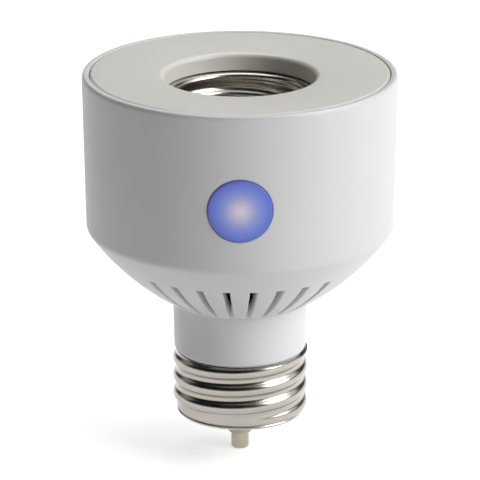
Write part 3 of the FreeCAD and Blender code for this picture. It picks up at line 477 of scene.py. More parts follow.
@dataclass(frozen=True)
class ThreadForm:
    """Wavy section of a medium lamp screw rolled in thin sheet.

    The middle radius swings out by circle arcs at the crests and in at the roots. The wave climbs by one
    pitch for each turn, anticlockwise seen from the lamp, so the thread is right-handed:
    phase = (z - crest_level) / pitch - (t - t0) / turn.

    Attributes:
        middle, swing: mean radius, and half the depth of the thread, in millimetres.
        pitch: height of one turn.
        crest_level, crest_angle: height of a crest at the angle t0, and that angle in degrees.
        crest_share: part of the pitch that the crest's arc takes.
    """

    middle: float
    swing: float
    pitch: float
    crest_level: float
    crest_angle: float
    crest_share: float = 0.56

    def phase(self, angle: Array, height: Array) -> Array:
        """Pitches above the crest that starts at crest_level, at an angle and a height."""
        return (height - self.crest_level) / self.pitch - (angle - math.radians(self.crest_angle)) / TURN

    def nearest_crest(self, angle: Array, height: Array) -> Array:
        """Height of the crest nearest to each point, at the point's own angle."""
        phase = self.phase(angle, height)
        return height - (phase - np.round(phase)) * self.pitch

    def radius(self, angle: Array, height: Array) -> Array:
        """Radius of the sheet's middle.

        Each half of the depth is a circle arc of half width h and height d, so of radius
        (h^2 + d^2) / 2 d, and the depth is shared so that the arcs meet with the same slope.

        Args:
            angle: angles in radians.
            height: heights in millimetres.

        Returns:
            The radii.
        """
        away = np.abs((self.phase(angle, height) + 0.5) % 1.0 - 0.5) * self.pitch
        half_crest = self.crest_share * self.pitch / 2
        half_root = self.pitch / 2 - half_crest
        depth = 2 * self.swing
        crest_depth = depth * half_crest / (half_crest + half_root)
        root_depth = depth - crest_depth
        crest_arc = (half_crest ** 2 + crest_depth ** 2) / (2 * crest_depth)
        root_arc = (half_root ** 2 + root_depth ** 2) / (2 * root_depth)
        from_root = self.pitch / 2 - away
        top, bottom = self.middle + self.swing, self.middle - self.swing
        on_crest = top - crest_arc + np.sqrt(np.maximum(crest_arc ** 2 - away ** 2, 0))
        on_root = bottom + root_arc - np.sqrt(np.maximum(root_arc ** 2 - from_root ** 2, 0))
        return np.where(away < half_crest, on_crest, on_root)


@dataclass
class ScrewBase:
    """Rolled screw shell, insulator and centre contact at the foot of the adapter.

    Attributes:
        sheet: thickness of the shell.
        rim, top: heights of the shell's rolled rim and of its free edge, before the rounding.
        rim_end, rim_round: radius where the rolled rim ends, and radius of the roll.
        thread: the shell's outer thread.
        runout: heights between which the last turn's crest rises out of the plain band.
        groove: height, half width and depth of the groove above the rim.
        edge_round: how far the free edge's rounding rises above it.
        turns: steps round the shell.
        fine: height of the band above the rim that has close rows, their step, and the step above it.
    """

    sheet: float = 0.35
    rim: float = 8.2
    top: float = 21.0
    rim_end: float = 11.1
    rim_round: float = 0.5
    thread: ThreadForm = ThreadForm(12.79, 0.39, 3.629, crest_level=19.13, crest_angle=180.0)
    runout: Pair = (9.0, 10.1)
    groove: Triple = (8.92, 0.17, 0.22)
    edge_round: float = 0.06
    turns: int = 256
    fine: Triple = (0.5, 0.04, 0.09)

    def build_shell(self) -> Object:
        """Make the threaded shell: outside from the rim up, over the free edge, and down the inside.

        Both sides follow the thread's wave, scaled by how high the nearest crest lies on the helix: the
        last turn fades into a plain band at the radius of the roots. The band has a fine rolled groove of
        bell-shaped section above the rim, and rolls inwards at the rim on a quarter circle. The free edge
        is cut level, so that it stands out where a crest meets it.

        Returns:
            The shell.
        """
        angle = even_angles(self.turns)[:, None]
        start = self.rim + self.rim_round
        band, close, wide = self.fine
        height = np.concatenate([subdivided([start, start + band], close)[:-1],
                                 subdivided([start + band, self.top], wide)])
        root = self.thread.middle - self.thread.swing
        low, high = self.runout
        share = smooth((self.thread.nearest_crest(angle, height[None, :]) - low) / (high - low))
        wall = root + (self.thread.radius(angle, height[None, :]) - root) * share
        level, width, depth = self.groove
        wall = wall - depth * np.exp(-((height[None, :] - level) / width) ** 2)

        def roll(radius: float, turn: Array) -> Array:
            """Points on the rolled rim, at the outer or the inner radius."""
            across = wall[:, :1] - self.rim_round + radius * np.sin(turn)
            return points_from(across, start - radius * np.cos(turn))

        curl = np.linspace(0, math.pi / 2, BEND_POINTS)
        lip, lip_in = (points_from(np.full((self.turns, 1), self.rim_end), up)
                       for up in (self.rim, self.rim + self.sheet))
        return turned("base_thread", np.concatenate([
            lip, roll(self.rim_round, curl), points_from(wall, height)[:, 1:],
            points_from(wall[:, -1:] - self.sheet / 2, self.top + self.edge_round),
            points_from(wall - self.sheet, height)[:, :0:-1],
            roll(self.rim_round - self.sheet, curl[::-1]), lip_in], axis=1))

    def build_insulator(self) -> Object:
        """Make the insulator: a short nose round the contact, a shallow cone, and the plug in the shell."""
        sleeve, nose, top = 1.8, 3.4, 10.75
        return turned("insulator_cone", rounded_profile([
            (sleeve, nose), (2.2, nose, 0.2), (3.6, 5.15, 1.2), (10.95, 8.05, 0.25), (10.95, 8.7),
            (11.7, 9.1, 0.2), (11.7, top, 0.3), (sleeve, top)]))

    def build_contact(self) -> Object:
        """Make the centre contact: a pin with a rounded end and a flat head inside the insulator."""
        pin, head, under, top = 1.75, 2.75, 10.8, 11.65
        return turned("contact_pin", rounded_profile([
            (0.0, 0.0), (pin, 0.0, 0.4), (pin, under), (head, under, 0.1), (head, top, 0.1), (0.0, top),
        ]), closed=False)

    def build(self, nickel: Material) -> None:
        """Make the screw base's pieces, with the shell in nickel."""
        finish_piece(self.build_shell(), nickel, "nickel_sheet", "base_screw_shell")
        finish_piece(self.build_insulator(), BASE_THERMOSET.build(), "insulator_plastic", "base_insulator")
        finish_piece(self.build_contact(), TINNED_BRASS.build(), "contact_metal", "base_contact")


@dataclass
class LampSocket:
    """Socket inside the mouth: threaded shell with a flange, in its insulating cup.

    Attributes:
        sheet: thickness of the shell.
        floor, top: heights of the cup's floor inside and of its end, under the flange.
        flange_round, flange_end: inner rounding under the flange, and the flange's radius.
        thread: the shell's inner thread.
        fade: height below the flange in which the thread dies out.
        grid: steps round the shell, and rows up its side.
        leaf_bend: places along X between which rows are cut into the leaf, from its foot to its free end.
        leaf_cuts: rows of points that are cut into the leaf between them.
    """

    sheet: float = 0.35
    floor: float = 52.85
    top: float = 72.5
    flange_round: float = 0.5
    flange_end: float = 14.35
    thread: ThreadForm = ThreadForm(12.99, 0.39, 3.629, crest_level=70.2, crest_angle=90.0)
    fade: float = 1.2
    grid: tuple[int, int] = (256, 160)
    leaf_bend: Pair = (6.0, 2.2)
    leaf_cuts: int = 7

    def build_shell(self) -> Object:
        """Make the socket's shell: inside from the floor up, round the flange, and down the outside.

        Returns:
            The shell.
        """
        turns, rows = self.grid
        wall_top = self.top - self.flange_round
        height = np.linspace(self.floor, wall_top, rows)
        wave = self.thread.radius(even_angles(turns)[:, None], height[None, :]) - self.thread.middle
        wall = self.thread.middle + wave * smooth((wall_top - height) / self.fade)[None, :]
        centre = self.thread.middle + self.sheet + self.flange_round

        def bend(radius: float, turn: Array) -> Array:
            """Points on the bend between the wall and the flange, at the inner or the outer radius."""
            return points_from(centre - radius * np.cos(turn), wall_top + radius * np.sin(turn))

        turn = np.linspace(0, math.pi / 2, BEND_POINTS)
        end, upper = self.flange_end, self.top + self.sheet
        edge = np.array([
            [end - 0.1, upper], [end, upper - 0.1], [end, self.top + 0.05], [end - 0.05, self.top]])
        flange = np.concatenate([
            bend(self.flange_round + self.sheet, turn), edge, bend(self.flange_round, turn[::-1])])
        return turned("socket_thread", np.concatenate([
            points_from(wall, height)[:, :-1], np.broadcast_to(flange, (turns, *flange.shape)),
            points_from(wall + self.sheet, height)[:, -2::-1]], axis=1))

    def build_leaf(self, brass: Material) -> None:
        """Make the spring leaf, with rows of points cut into it between its riveted foot and its free end
        under the contact.

        Args:
            brass: material of the leaf.
        """
        leaf = finish_piece(eased_copy("contact_leaf", "leaf_spring"), brass, "spring_brass", "contact_leaf",
                            rides=False)
        foot, free = self.leaf_bend
        work = bmesh.new()
        work.from_mesh(leaf.data)
        for place in np.linspace(foot, free, self.leaf_cuts + 2)[1:-1]:
            bmesh.ops.bisect_plane(work, geom=work.verts[:] + work.edges[:] + work.faces[:], dist=1e-7,
                                   plane_co=(place * MM, 0, 0), plane_no=(1, 0, 0))
        work.to_mesh(leaf.data)
        work.free()
        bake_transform(leaf)
        LOG.info("%s: bends between %s and %s", leaf.name, Body.FIXED.value, Body.CONTACT.value)

    def build(self, nickel: Material, brass: Material) -> None:
        """Make the socket's pieces.

        Args:
            nickel: material of the shell.
            brass: material of the springs.
        """
        finish_piece(self.build_shell(), nickel, "nickel_sheet", "socket_screw_shell")
        dress_node("socket_insulator", SOCKET_THERMOSET.build())
        for node in ("contact_nub", "contact_rivet", "shell_terminal"):
            dress_node(node, brass)
        self.build_leaf(brass)


def arc_centre(low: Pair, high: Pair, curve: float) -> Array:
    """Centre of a hollow-up arc of some radius that joins two points: it lies above the chord's middle."""
    chord = np.subtract(high, low)
    length = float(np.linalg.norm(chord))
    normal = np.array([-chord[1], chord[0]]) / length
    return np.add(low, high) / 2 + normal * math.sqrt(curve ** 2 - length ** 2 / 4)


def arc_height(radius: Array, low: Pair, high: Pair,
               curve: float) -> Array:
    """Height of such an arc: height = centre height - sqrt(curve^2 - (radius - centre radius)^2).

    Args:
        radius: radii at which the height is wanted.
        low: lower end of the arc, (radius, height).
        high: upper end of the arc.
        curve: radius of the arc.

    Returns:
        The heights.
    """
    centre = arc_centre(low, high, curve)
    return centre[1] - np.sqrt(curve ** 2 - (radius - centre[0]) ** 2)


def signed_angle(degrees: Array) -> Array:
    """The same angle between -180 and 180 degrees."""
    return (degrees + 180) % 360 - 180


# Places in the list of the housing profile's runs
BOWL, ROUNDING, WALL, INNER_WALL, INNER_BOWL = 0, 1, 2, 5, 6


@dataclass
class Housing:
    """Cup-shaped housing with its vents, the button's bore and guide, and the cover and the neck.

    Attributes:
        lip, corner, mouth: heights of the bowl's lower edge, of the corner above it and of the rim.
        mouth_radius, draft: radius at the rim, and taper of the cylinder in radians.
        lip_bore, lip_radius, lip_edge: bore and outer radius of the lower edge, and its broken edges.
        bowl_curve, bowl_floor: radius of the bowl's curve, and its wall at the lip, measured upright.
        inside, inside_corner: radius and height of the corner inside.
        corner_round: rounding of the corner outside.
        rim_round, rim_reach: height and width of the ellipse's quarter on the rim's outer edge.
        joint_fill, cover_edge: how much nearer to the rim the cover's edge comes, and that edge's width.
        rim_inside, ledge, ledge_inside: radius of the rebate, and height and inner radius of its floor.
        row_step, column_step: greatest height of a row of faces, and width of a column in degrees.
        vent_rings, vent_rows: radii between which the vents run, and rows of points along them.
        beside_vents: radii of the rows beyond the vents' ends on the bowl's inner face.
        vent_width, vent_pitch: angle that a vent takes, and angle between neighbours, in degrees.
        vent_break: angle between the end vents of two groups, in degrees.
        vents_in_front, vents_at_side: vents under the button, and in each of the two other groups.
        vent_edge, vent_middle: rounding of the outer edges, and the radius where its width is set out.
        button_level, button_window: height of the button, and half that of the wall made afresh round it.
        button_bore, bore_edge: radius of the button's bore, and rounding of its outer edge.
        guide_outside, guide_end, guide_edge: radius of the button's guide, distance from the axis to its
            end, and the broken edges there.
        columns: ring and top of the main board's columns, and of the posts for the neck's ears.
    """

    lip: float = 31.75
    corner: float = 46.55
    mouth: float = 76.9
    mouth_radius: float = 30.2
    draft: float = math.radians(0.95)
    lip_bore: float = 13.2
    lip_radius: float = 13.85
    lip_edge: Pair = (0.15, 0.1)
    bowl_curve: float = 51.4
    bowl_floor: float = 2.3
    inside: float = 27.497
    inside_corner: float = 47.65
    corner_round: float = 2.1
    rim_round: float = 1.05
    rim_reach: float = 0.5
    joint_fill: float = 0.13
    cover_edge: float = 0.6
    rim_inside: float = 28.85
    ledge: float = 75.1
    ledge_inside: float = 27.97
    row_step: float = 1.8
    column_step: float = 2.2
    vent_rings: Pair = (14.35, 25.227)
    vent_rows: int = 17
    beside_vents: Pair = (13.8, 26.4)
    vent_width: float = 3.2
    vent_pitch: float = 11.77
    vent_break: float = 29.7
    vents_in_front: int = 8
    vents_at_side: int = 9
    vent_edge: float = 0.3
    vent_middle: float = 20.0
    button_level: float = 58.75
    button_window: float = 9.0
    button_bore: float = 6.08
    bore_edge: float = 0.25
    guide_outside: float = 7.88
    guide_end: float = 24.9
    guide_edge: float = 0.2
    columns: tuple[Pair, ...] = ((22.997, 48.25), (17.6, 40.61))

    def outside_at(self, height: Array) -> Array:
        """Outer radius of the cylinder at a height."""
        return self.mouth_radius - (self.mouth - height) * math.tan(self.draft)

    def inside_at(self, height: Array) -> Array:
        """Inner radius of the cylinder at a height."""
        slope = (self.ledge_inside - self.inside) / (self.ledge - self.inside_corner)
        return self.inside + (height - self.inside_corner) * slope

    def bowl_inside(self, radius: Array) -> Array:
        """Height of the bowl's inner face at a radius."""
        low = (self.lip_bore, self.lip + self.bowl_floor)
        return arc_height(radius, low, (self.inside, self.inside_corner), self.bowl_curve)

    def vent_angles(self) -> Array:
        """Middles of all the vents, in degrees from the front, anticlockwise seen from above."""
        turn = (self.vents_in_front + self.vents_at_side - 2) / 2 * self.vent_pitch + self.vent_break
        groups = ((-turn, self.vents_at_side), (0.0, self.vents_in_front), (turn, self.vents_at_side))
        return np.concatenate([
            middle + (np.arange(count) - (count - 1) / 2) * self.vent_pitch for middle, count in groups])

    def corner_arc(self) -> Array:
        """Points of the rounding between the bowl and the cylinder, upwards.

        Its centre is as far inside the cylinder's straight line as inside the bowl's arc, by the rounding.

        Returns:
            (radius, height) points.
        """
        foot = np.array([float(self.outside_at(self.corner)), self.corner])
        bowl = arc_centre((self.lip_radius, self.lip), tuple(foot), self.bowl_curve)
        along = np.array([math.sin(self.draft), math.cos(self.draft)])
        inwards = np.array([-math.cos(self.draft), math.sin(self.draft)])
        start = foot + inwards * self.corner_round - bowl
        reach = self.bowl_curve - self.corner_round
        slide = -(start @ along) - math.sqrt((start @ along) ** 2 - start @ start + reach ** 2)
        centre = bowl + start + along * slide
        first = math.atan2(*(centre - bowl)[::-1])
        angle = np.linspace(first, -self.draft, BEND_POINTS)
        return centre + self.corner_round * points_from(np.cos(angle), np.sin(angle))

    def profile(self, near: Array) -> list[Array]:
        """Runs of the closed profile: up the outside, over the rim, down the inside and along the bowl.

        Args:
            near: distances from a vent's end at which the outer face has rows.

        Returns:
            (radius, height) points of each run.
        """
        rounding = self.corner_arc()
        inner, outer = self.vent_rings
        along = np.linspace(inner, outer, self.vent_rows)
        window = (self.button_level - self.button_window, self.button_level + self.button_window)
        inside_edge, outside_edge = self.lip_edge
        bowl = np.concatenate([
            [self.lip_radius + outside_edge], inner - near[:0:-1], along, outer + near[1:],
            subdivided([outer + 1.0, rounding[0, 0]], 1.0)])
        foot = (float(self.outside_at(self.corner)), self.corner)
        rim_centre = self.mouth - self.rim_round
        rise = subdivided([rounding[-1, 1] + 0.4, *window, rim_centre - 0.4], self.row_step)
        fall = subdivided([self.inside_corner + 0.5, *window, self.ledge - 0.5], self.row_step)[::-1]
        turn = np.linspace(-self.draft, math.pi / 2, BEND_POINTS)
        rim_radius = float(self.outside_at(rim_centre)) - self.rim_reach
        inner_bowl = np.concatenate([[self.inside, self.beside_vents[1]], along[::-1],
                                     [self.beside_vents[0], self.lip_bore]])
        return [
            points_from(bowl, arc_height(bowl, (self.lip_radius, self.lip), foot, self.bowl_curve)),
            rounding,
            points_from(self.outside_at(rise), rise),
            points_from(rim_radius + self.rim_reach * np.cos(turn),
                        rim_centre + self.rim_round * np.sin(turn)),
            np.array([[self.rim_inside + 0.1, self.mouth], [self.rim_inside + 0.03, self.mouth - 0.03],
                      [self.rim_inside, self.mouth - 0.1], [self.rim_inside, self.ledge],
                      [self.ledge_inside, self.ledge]]),
            points_from(self.inside_at(fall), fall),
            points_from(inner_bowl, self.bowl_inside(inner_bowl)),
            np.array([[self.lip_bore, self.lip + inside_edge], [self.lip_bore + inside_edge, self.lip],
                      [self.lip_radius - outside_edge, self.lip]]),
        ]

    def build_shell(self) -> Object:
        """Make the housing: one closed profile carried round the axis, with vents and a bore cut through.

        Rows of the grid meet the ends of the vents and its columns meet their sides, so a vent is a block
        of cells left out on both faces, with walls between their edges. Near a vent the outer face drops
        by e - sqrt(e^2 - (e - d)^2) at the distance d from the vent's edge, a quarter circle of radius e.

        Returns:
            The housing.
        """
        near = np.array([0.0, 0.04, 0.1, 0.18, 0.3, 0.38])
        half = self.vent_width / 2
        middles = self.vent_angles()
        sides = half + np.degrees(near / self.vent_middle)
        lines = np.sort(np.concatenate([
            (middles[:, None] - sides).ravel(), middles, (middles[:, None] + sides).ravel()]))
        columns = subdivided(np.append(lines, lines[0] + 360), self.column_step)[:-1]
        theta = np.radians(columns - 90)
        away = np.abs(signed_angle(columns[:, None] - middles)).min(axis=1)

        runs = self.profile(near)
        starts = np.cumsum([0] + [len(run) for run in runs])
        profile = np.concatenate(runs)
        inner, outer = self.vent_rings
        reach = np.hypot(
            profile[:, :1] * np.radians(np.maximum(away - half, 0)),
            np.maximum(np.maximum(inner - profile[:, :1], profile[:, :1] - outer), 0))
        depth = self.vent_edge - np.minimum(reach, self.vent_edge)
        drop = self.vent_edge - np.sqrt(self.vent_edge ** 2 - depth ** 2)
        drop[starts[ROUNDING]:] = 0
        points = points_from(
            profile[:, :1] * np.cos(theta), profile[:, :1] * np.sin(theta), profile[:, 1:] + drop)

        rows, count = len(profile), len(columns)
        number = np.arange(rows * count).reshape(rows, count)
        middle = (columns + np.roll(columns, -1) + np.where(np.arange(count) == count - 1, 360, 0)) / 2
        open_columns = np.abs(signed_angle(middle[:, None] - middles)).min(axis=1) < half
        last = self.vent_rows - 1
        first_out = int(np.argmin(np.abs(runs[BOWL][:, 0] - inner)))
        first_in = int(starts[INNER_BOWL] + 2)
        keep = np.ones((rows, count), bool)
        for first in (first_out, first_in):
            keep[first:first + last, open_columns] = False

        side = middles[self.vents_at_side + self.vents_in_front // 2 + 1] + half
        from_front = np.abs(signed_angle(middle)) < side
        windows = []
        for run in (WALL, INNER_WALL):
            edges = np.isclose(np.abs(runs[run][:, 1] - self.button_level), self.button_window)
            low, high = starts[run] + np.flatnonzero(edges)
            keep[low:high, from_front] = False
            windows.append((low, high))
        front = np.flatnonzero(from_front | np.roll(from_front, 1))
        front = front[np.argsort(signed_angle(columns[front]))]
        bore_points, bore_quads = self.bore(points, number, front, *windows)

        walls = self.vent_walls(number[first_out:first_out + last + 1],
                                number[first_in:first_in + last + 1][::-1], open_columns)
        quads = grid_quads(rows, count, True, True)[keep.ravel()]
        return put_mesh("housing_shell", np.concatenate([points.reshape(-1, 3), bore_points]),
                        np.concatenate([quads, walls, bore_quads]))

    def vent_walls(self, outer: Array, inner: Array, open_columns: Array) -> Array:
        """Quads of the vents' sides and ends, which join the edges of the openings in both faces.

        Args:
            outer: numbers of the outer face's points, row by row along the vents.
            inner: the same for the inner face.
            open_columns: for each column of cells, whether it is a vent's.

        Returns:
            Four point numbers to a row.
        """
        edges = np.flatnonzero(open_columns != np.roll(open_columns, 1))
        cells = np.flatnonzero(open_columns)
        beside = (cells + 1) % len(open_columns)
        out, into = outer[:, edges], inner[:, edges]
        return np.concatenate([points_from(out[:-1], out[1:], into[1:], into[:-1]).reshape(-1, 4)] + [
            points_from(outer[end, cells], outer[end, beside], inner[end, beside], inner[end, cells])
            for end in (0, -1)])

    def bore(self, points: Array, number: Array, front: Array, outside: tuple[int, int],
             inside: tuple[int, int]) -> tuple[Array, Array]:
        """Fill the windows in both faces of the wall with a ring of faces round the button's guide.

        A ring's points go in straight lines from the window's edge to a circle in the XZ plane, and lie
        on the wall at y = -sqrt(radius(z)^2 - x^2). Circles then run in through the bore and back along
        the guide's outside.

        Args:
            points: the housing's grid of points.
            number: their numbers.
            front: the window's columns, from -X to +X.
            outside: first and last row of the window in the outer face, upwards.
            inside: first and last row of the window in the inner face, downwards.

        Returns:
            New points, and the quads that join them to the grid.
        """
        def loop(low: int, high: int, between: Array) -> Array:
            """Numbers round a window: along its lower row, up, back along its upper row, and down."""
            return np.concatenate([
                number[low, front[:-1]], number[between, front[-1]][:-1],
                number[high, front[::-1]][:-1], number[between[::-1], front[0]][:-1]])

        def on_wall(spot: Array, radius_at: object, lift: Array | float = 0.0) -> Array:
            """Points of the wall at places in the XZ plane, moved in by a lift."""
            height = spot[..., 1] + self.button_level
            along = lift - np.sqrt(radius_at(height) ** 2 - spot[..., 0] ** 2)
            return points_from(spot[..., 0], along, height)

        ring_out = loop(outside[0], outside[1], np.arange(outside[0], outside[1] + 1))
        ring_in = loop(inside[1], inside[0], np.arange(inside[1], inside[0] - 1, -1))
        flat = points.reshape(-1, 3)[:, [0, 2]] - (0.0, self.button_level)
        square, back_square = flat[ring_out], flat[ring_in]
        angle = np.arctan2(square[:, 1], square[:, 0])
        unit = points_from(np.cos(angle), np.sin(angle))

        share = np.linspace(0, 1, 8)[1:, None, None]
        approach = on_wall((1 - share) * square + share * unit * (self.button_bore + self.bore_edge),
                           self.outside_at)
        curl = np.linspace(0, math.pi / 2, 6)[1:, None]
        edge = on_wall(unit * (self.button_bore + self.bore_edge * (1 - np.sin(curl)))[..., None],
                       self.outside_at, self.bore_edge * (1 - np.cos(curl)))
        size = np.array([self.button_bore, self.button_bore + self.guide_edge,
                         self.guide_outside - self.guide_edge, self.guide_outside])[:, None, None]
        depth = self.guide_end + self.guide_edge * np.array([1.0, 0.0, 0.0, 1.0])[:, None]
        tube = unit * size
        tube = points_from(tube[..., 0], -depth, tube[..., 1] + self.button_level)
        share = np.linspace(1, 0, 5)[:-1, None, None]
        way_back = on_wall((1 - share) * back_square + share * unit * self.guide_outside, self.inside_at)
        new = np.concatenate([approach, edge, tube, way_back])
        own = points.size // 3 + np.arange(new.size // 3).reshape(len(new), -1)
        table = np.concatenate([ring_out[None], own, ring_in[None]])
        here, there = table[:-1], table[1:]
        quads = points_from(here, there, np.roll(there, -1, axis=1), np.roll(here, -1, axis=1))
        return new.reshape(-1, 3), quads.reshape(-1, 4)

    def build_columns(self) -> Object:
        """Make the columns of the main board and the posts of the neck's ears, with their pilot holes.

        Each is a profile turned round its own axis, and its foot follows the bowl's inner face.

        Returns:
            The six of them as one piece.
        """
        steps, sunk = 40, 0.4
        turn = even_angles(steps)
        radius = np.array([0.0, 2.5, 2.5, 2.35, 1.25, 1.1, 1.1, 0.0])
        all_points = []
        for ring, top in self.columns:
            level = np.array([0.0, 0.0, top - 0.15, top, top, top - 0.15, top - 2.6, top - 2.6])
            for angle in np.radians([90.0, 210.0, 330.0]):
                spot = points_from(ring * math.cos(angle) + radius[:, None] * np.cos(turn),
                                   ring * math.sin(angle) + radius[:, None] * np.sin(turn), level[:, None])
                spot[:2, :, 2] = self.bowl_inside(np.hypot(spot[:2, :, 0], spot[:2, :, 1])) - sunk
                all_points.append(spot.reshape(-1, 3))
        quads = grid_quads(len(radius), steps, False, True)[:, ::-1]
        numbers = quads + len(all_points[0]) * np.arange(len(all_points))[:, None, None]
        return put_mesh("screw_columns", np.concatenate(all_points), numbers.reshape(-1, 4))

    def build(self) -> None:
        """Make the housing, the cover and the neck."""
        abs_plastic = HOUSING_ABS.build()
        finish_piece(self.build_shell(), abs_plastic, "housing_plastic", "housing")
        finish_piece(self.build_columns(), abs_plastic, "housing_plastic")
        cover = eased_copy("top_cover", "cover_plate", 0.1)
        spot = np.empty((len(cover.data.vertices), 3))
        cover.data.vertices.foreach_get("co", spot.ravel())
        edge = np.hypot(spot[:, 0], spot[:, 1]) > (self.rim_inside - self.cover_edge) * MM
        spot[edge, :2] *= 1 + self.joint_fill / self.rim_inside
        cover.data.vertices.foreach_set("co", spot.ravel())
        finish_piece(cover, COVER_ABS.build(), "cover_plastic", "top_cover")
        # The neck gets the brighter, cooler copy of the housing's ABS: painted light on its upright wall
        finish_piece(eased_copy("neck", "neck_tube", 0.1), NECK_ABS_PAINTED_LIGHT.build(), "neck_plastic", "neck")


@dataclass
class PushButton:
    """Lit push button and its switch.

    Attributes:
        centre: the cap's centre at the front.
        radius: the cap's radius.
        glow: strength of the painted glow that the cap gives off itself, in place of the light that comes
            through it.
    """

    centre: Triple = (0.0, -29.9, 58.75)
    radius: float = 6.0
    glow: float = 0.25

    def build(self) -> None:
        """Dress the button's pieces."""
        # The cap's glow and its darker edge are painted into its material
        cap = LitCap("polycarbonate_blue_painted_glow", self.centre, self.radius, self.glow)
        for node, look in (("button_cap", cap), ("tact_switch", BLACK_NYLON), ("tact_plunger", CREAM_NYLON)):
            dress_node(node, look.build())


@dataclass
class Lead:
    """Insulated lead between the screw base and the main board: a round tube along a smooth NURBS line.

    Attributes:
        name, node, slot: the piece's name, the CAD node that it replaces and the record's material slot.
        look: finish of its insulation.
        length, diameter: its real length, which is not used, and its diameter in millimetres.
        points: the control points of its line, from the base to the board, in millimetres.
    """

    name: str
    node: str
    slot: str
    look: Finish
    length: float
    points: tuple[Triple, ...]
    diameter: float = 1.8

    def build(self) -> None:
        data = bpy.data.curves.new(self.name, "CURVE")
        data.dimensions = "3D"
        data.bevel_depth = self.diameter / 2 * MM
        data.bevel_resolution = 6
        data.resolution_u = 16
        data.use_fill_caps = True
        line = data.splines.new("NURBS")
        line.points.add(len(self.points) - 1)
        route = np.hstack([np.array(self.points) * MM, np.ones((len(self.points), 1))])
        line.points.foreach_set("co", route.ravel())
        line.order_u = 3
        line.use_endpoint_u = True
        lead = finish_piece(add_object(self.name, data), self.look.build(), self.slot, self.node)


@dataclass
class Circuit:
    """Boards, components, screws and leads inside the housing."""

    def build(self) -> None:
        """Dress the circuit's pieces and make its leads."""
        for look, nodes in (
            (SOLDER_MASK, ("button_board", "main_board")), (LAMP_CLEAR, ("button_leds",)),
            (BLACK_NYLON, ("board_header", "control_chip", "relay", "rectifier")),
            (FILM_BOX, ("film_capacitor",)), (CAN_SLEEVE, ("smoothing_capacitor",)), (FERRITE, ("choke",)),
            (DISC_EPOXY, ("varistor",)), (FUSE_LACQUER, ("fuse",)), (TIN_PLATE, ("receiver_module",)),
            (ZINC_STEEL, ("board_screws", "neck_screws")),
        ):
            material = look.build()
            for node in nodes:
                dress_node(node, material)
        Lead("lead_black", "line_lead", "line_insulation", PVC_BLACK, 39.4, (
            (0, 0, 11.65), (0, 0, 16.65), (3.4, 1.6, 25.65), (6.6, 2.8, 34.65), (8, 3.5, 41.65),
            (8, 3.5, 49.85))).build()
        Lead("lead_white", "neutral_lead", "neutral_insulation", PVC_WHITE, 39.2, (
            (-7.6, -1, 10.75), (-7.6, -1, 16.75), (-7.9, -2.6, 25.75), (-8.3, -2.2, 34.75),
            (-8.5, -3, 41.75), (-8.5, -3, 49.85))).build()


def emission(holder: Material, strength: float | NodeSocket) -> NodeSocket:
    """Plain white light of some strength."""
    return add_node(holder, "Emission", {"Color": linear("ffffff"), "Strength": strength}).outputs[0]


def seen_rays(holder: Holder) -> NodeSocket:
    """1 for the camera's rays and for those that a surface mirrors or lets through, 0 for all others."""
    path = add_node(holder, "LightPath")
    seen = path.outputs["Is Camera Ray"]
    for kind in ("Is Transmission Ray", "Is Glossy Ray"):
        seen = add_node(holder, "Math", {0: seen, 1: path.outputs[kind]}, operation="MAXIMUM").outputs[0]
    return seen


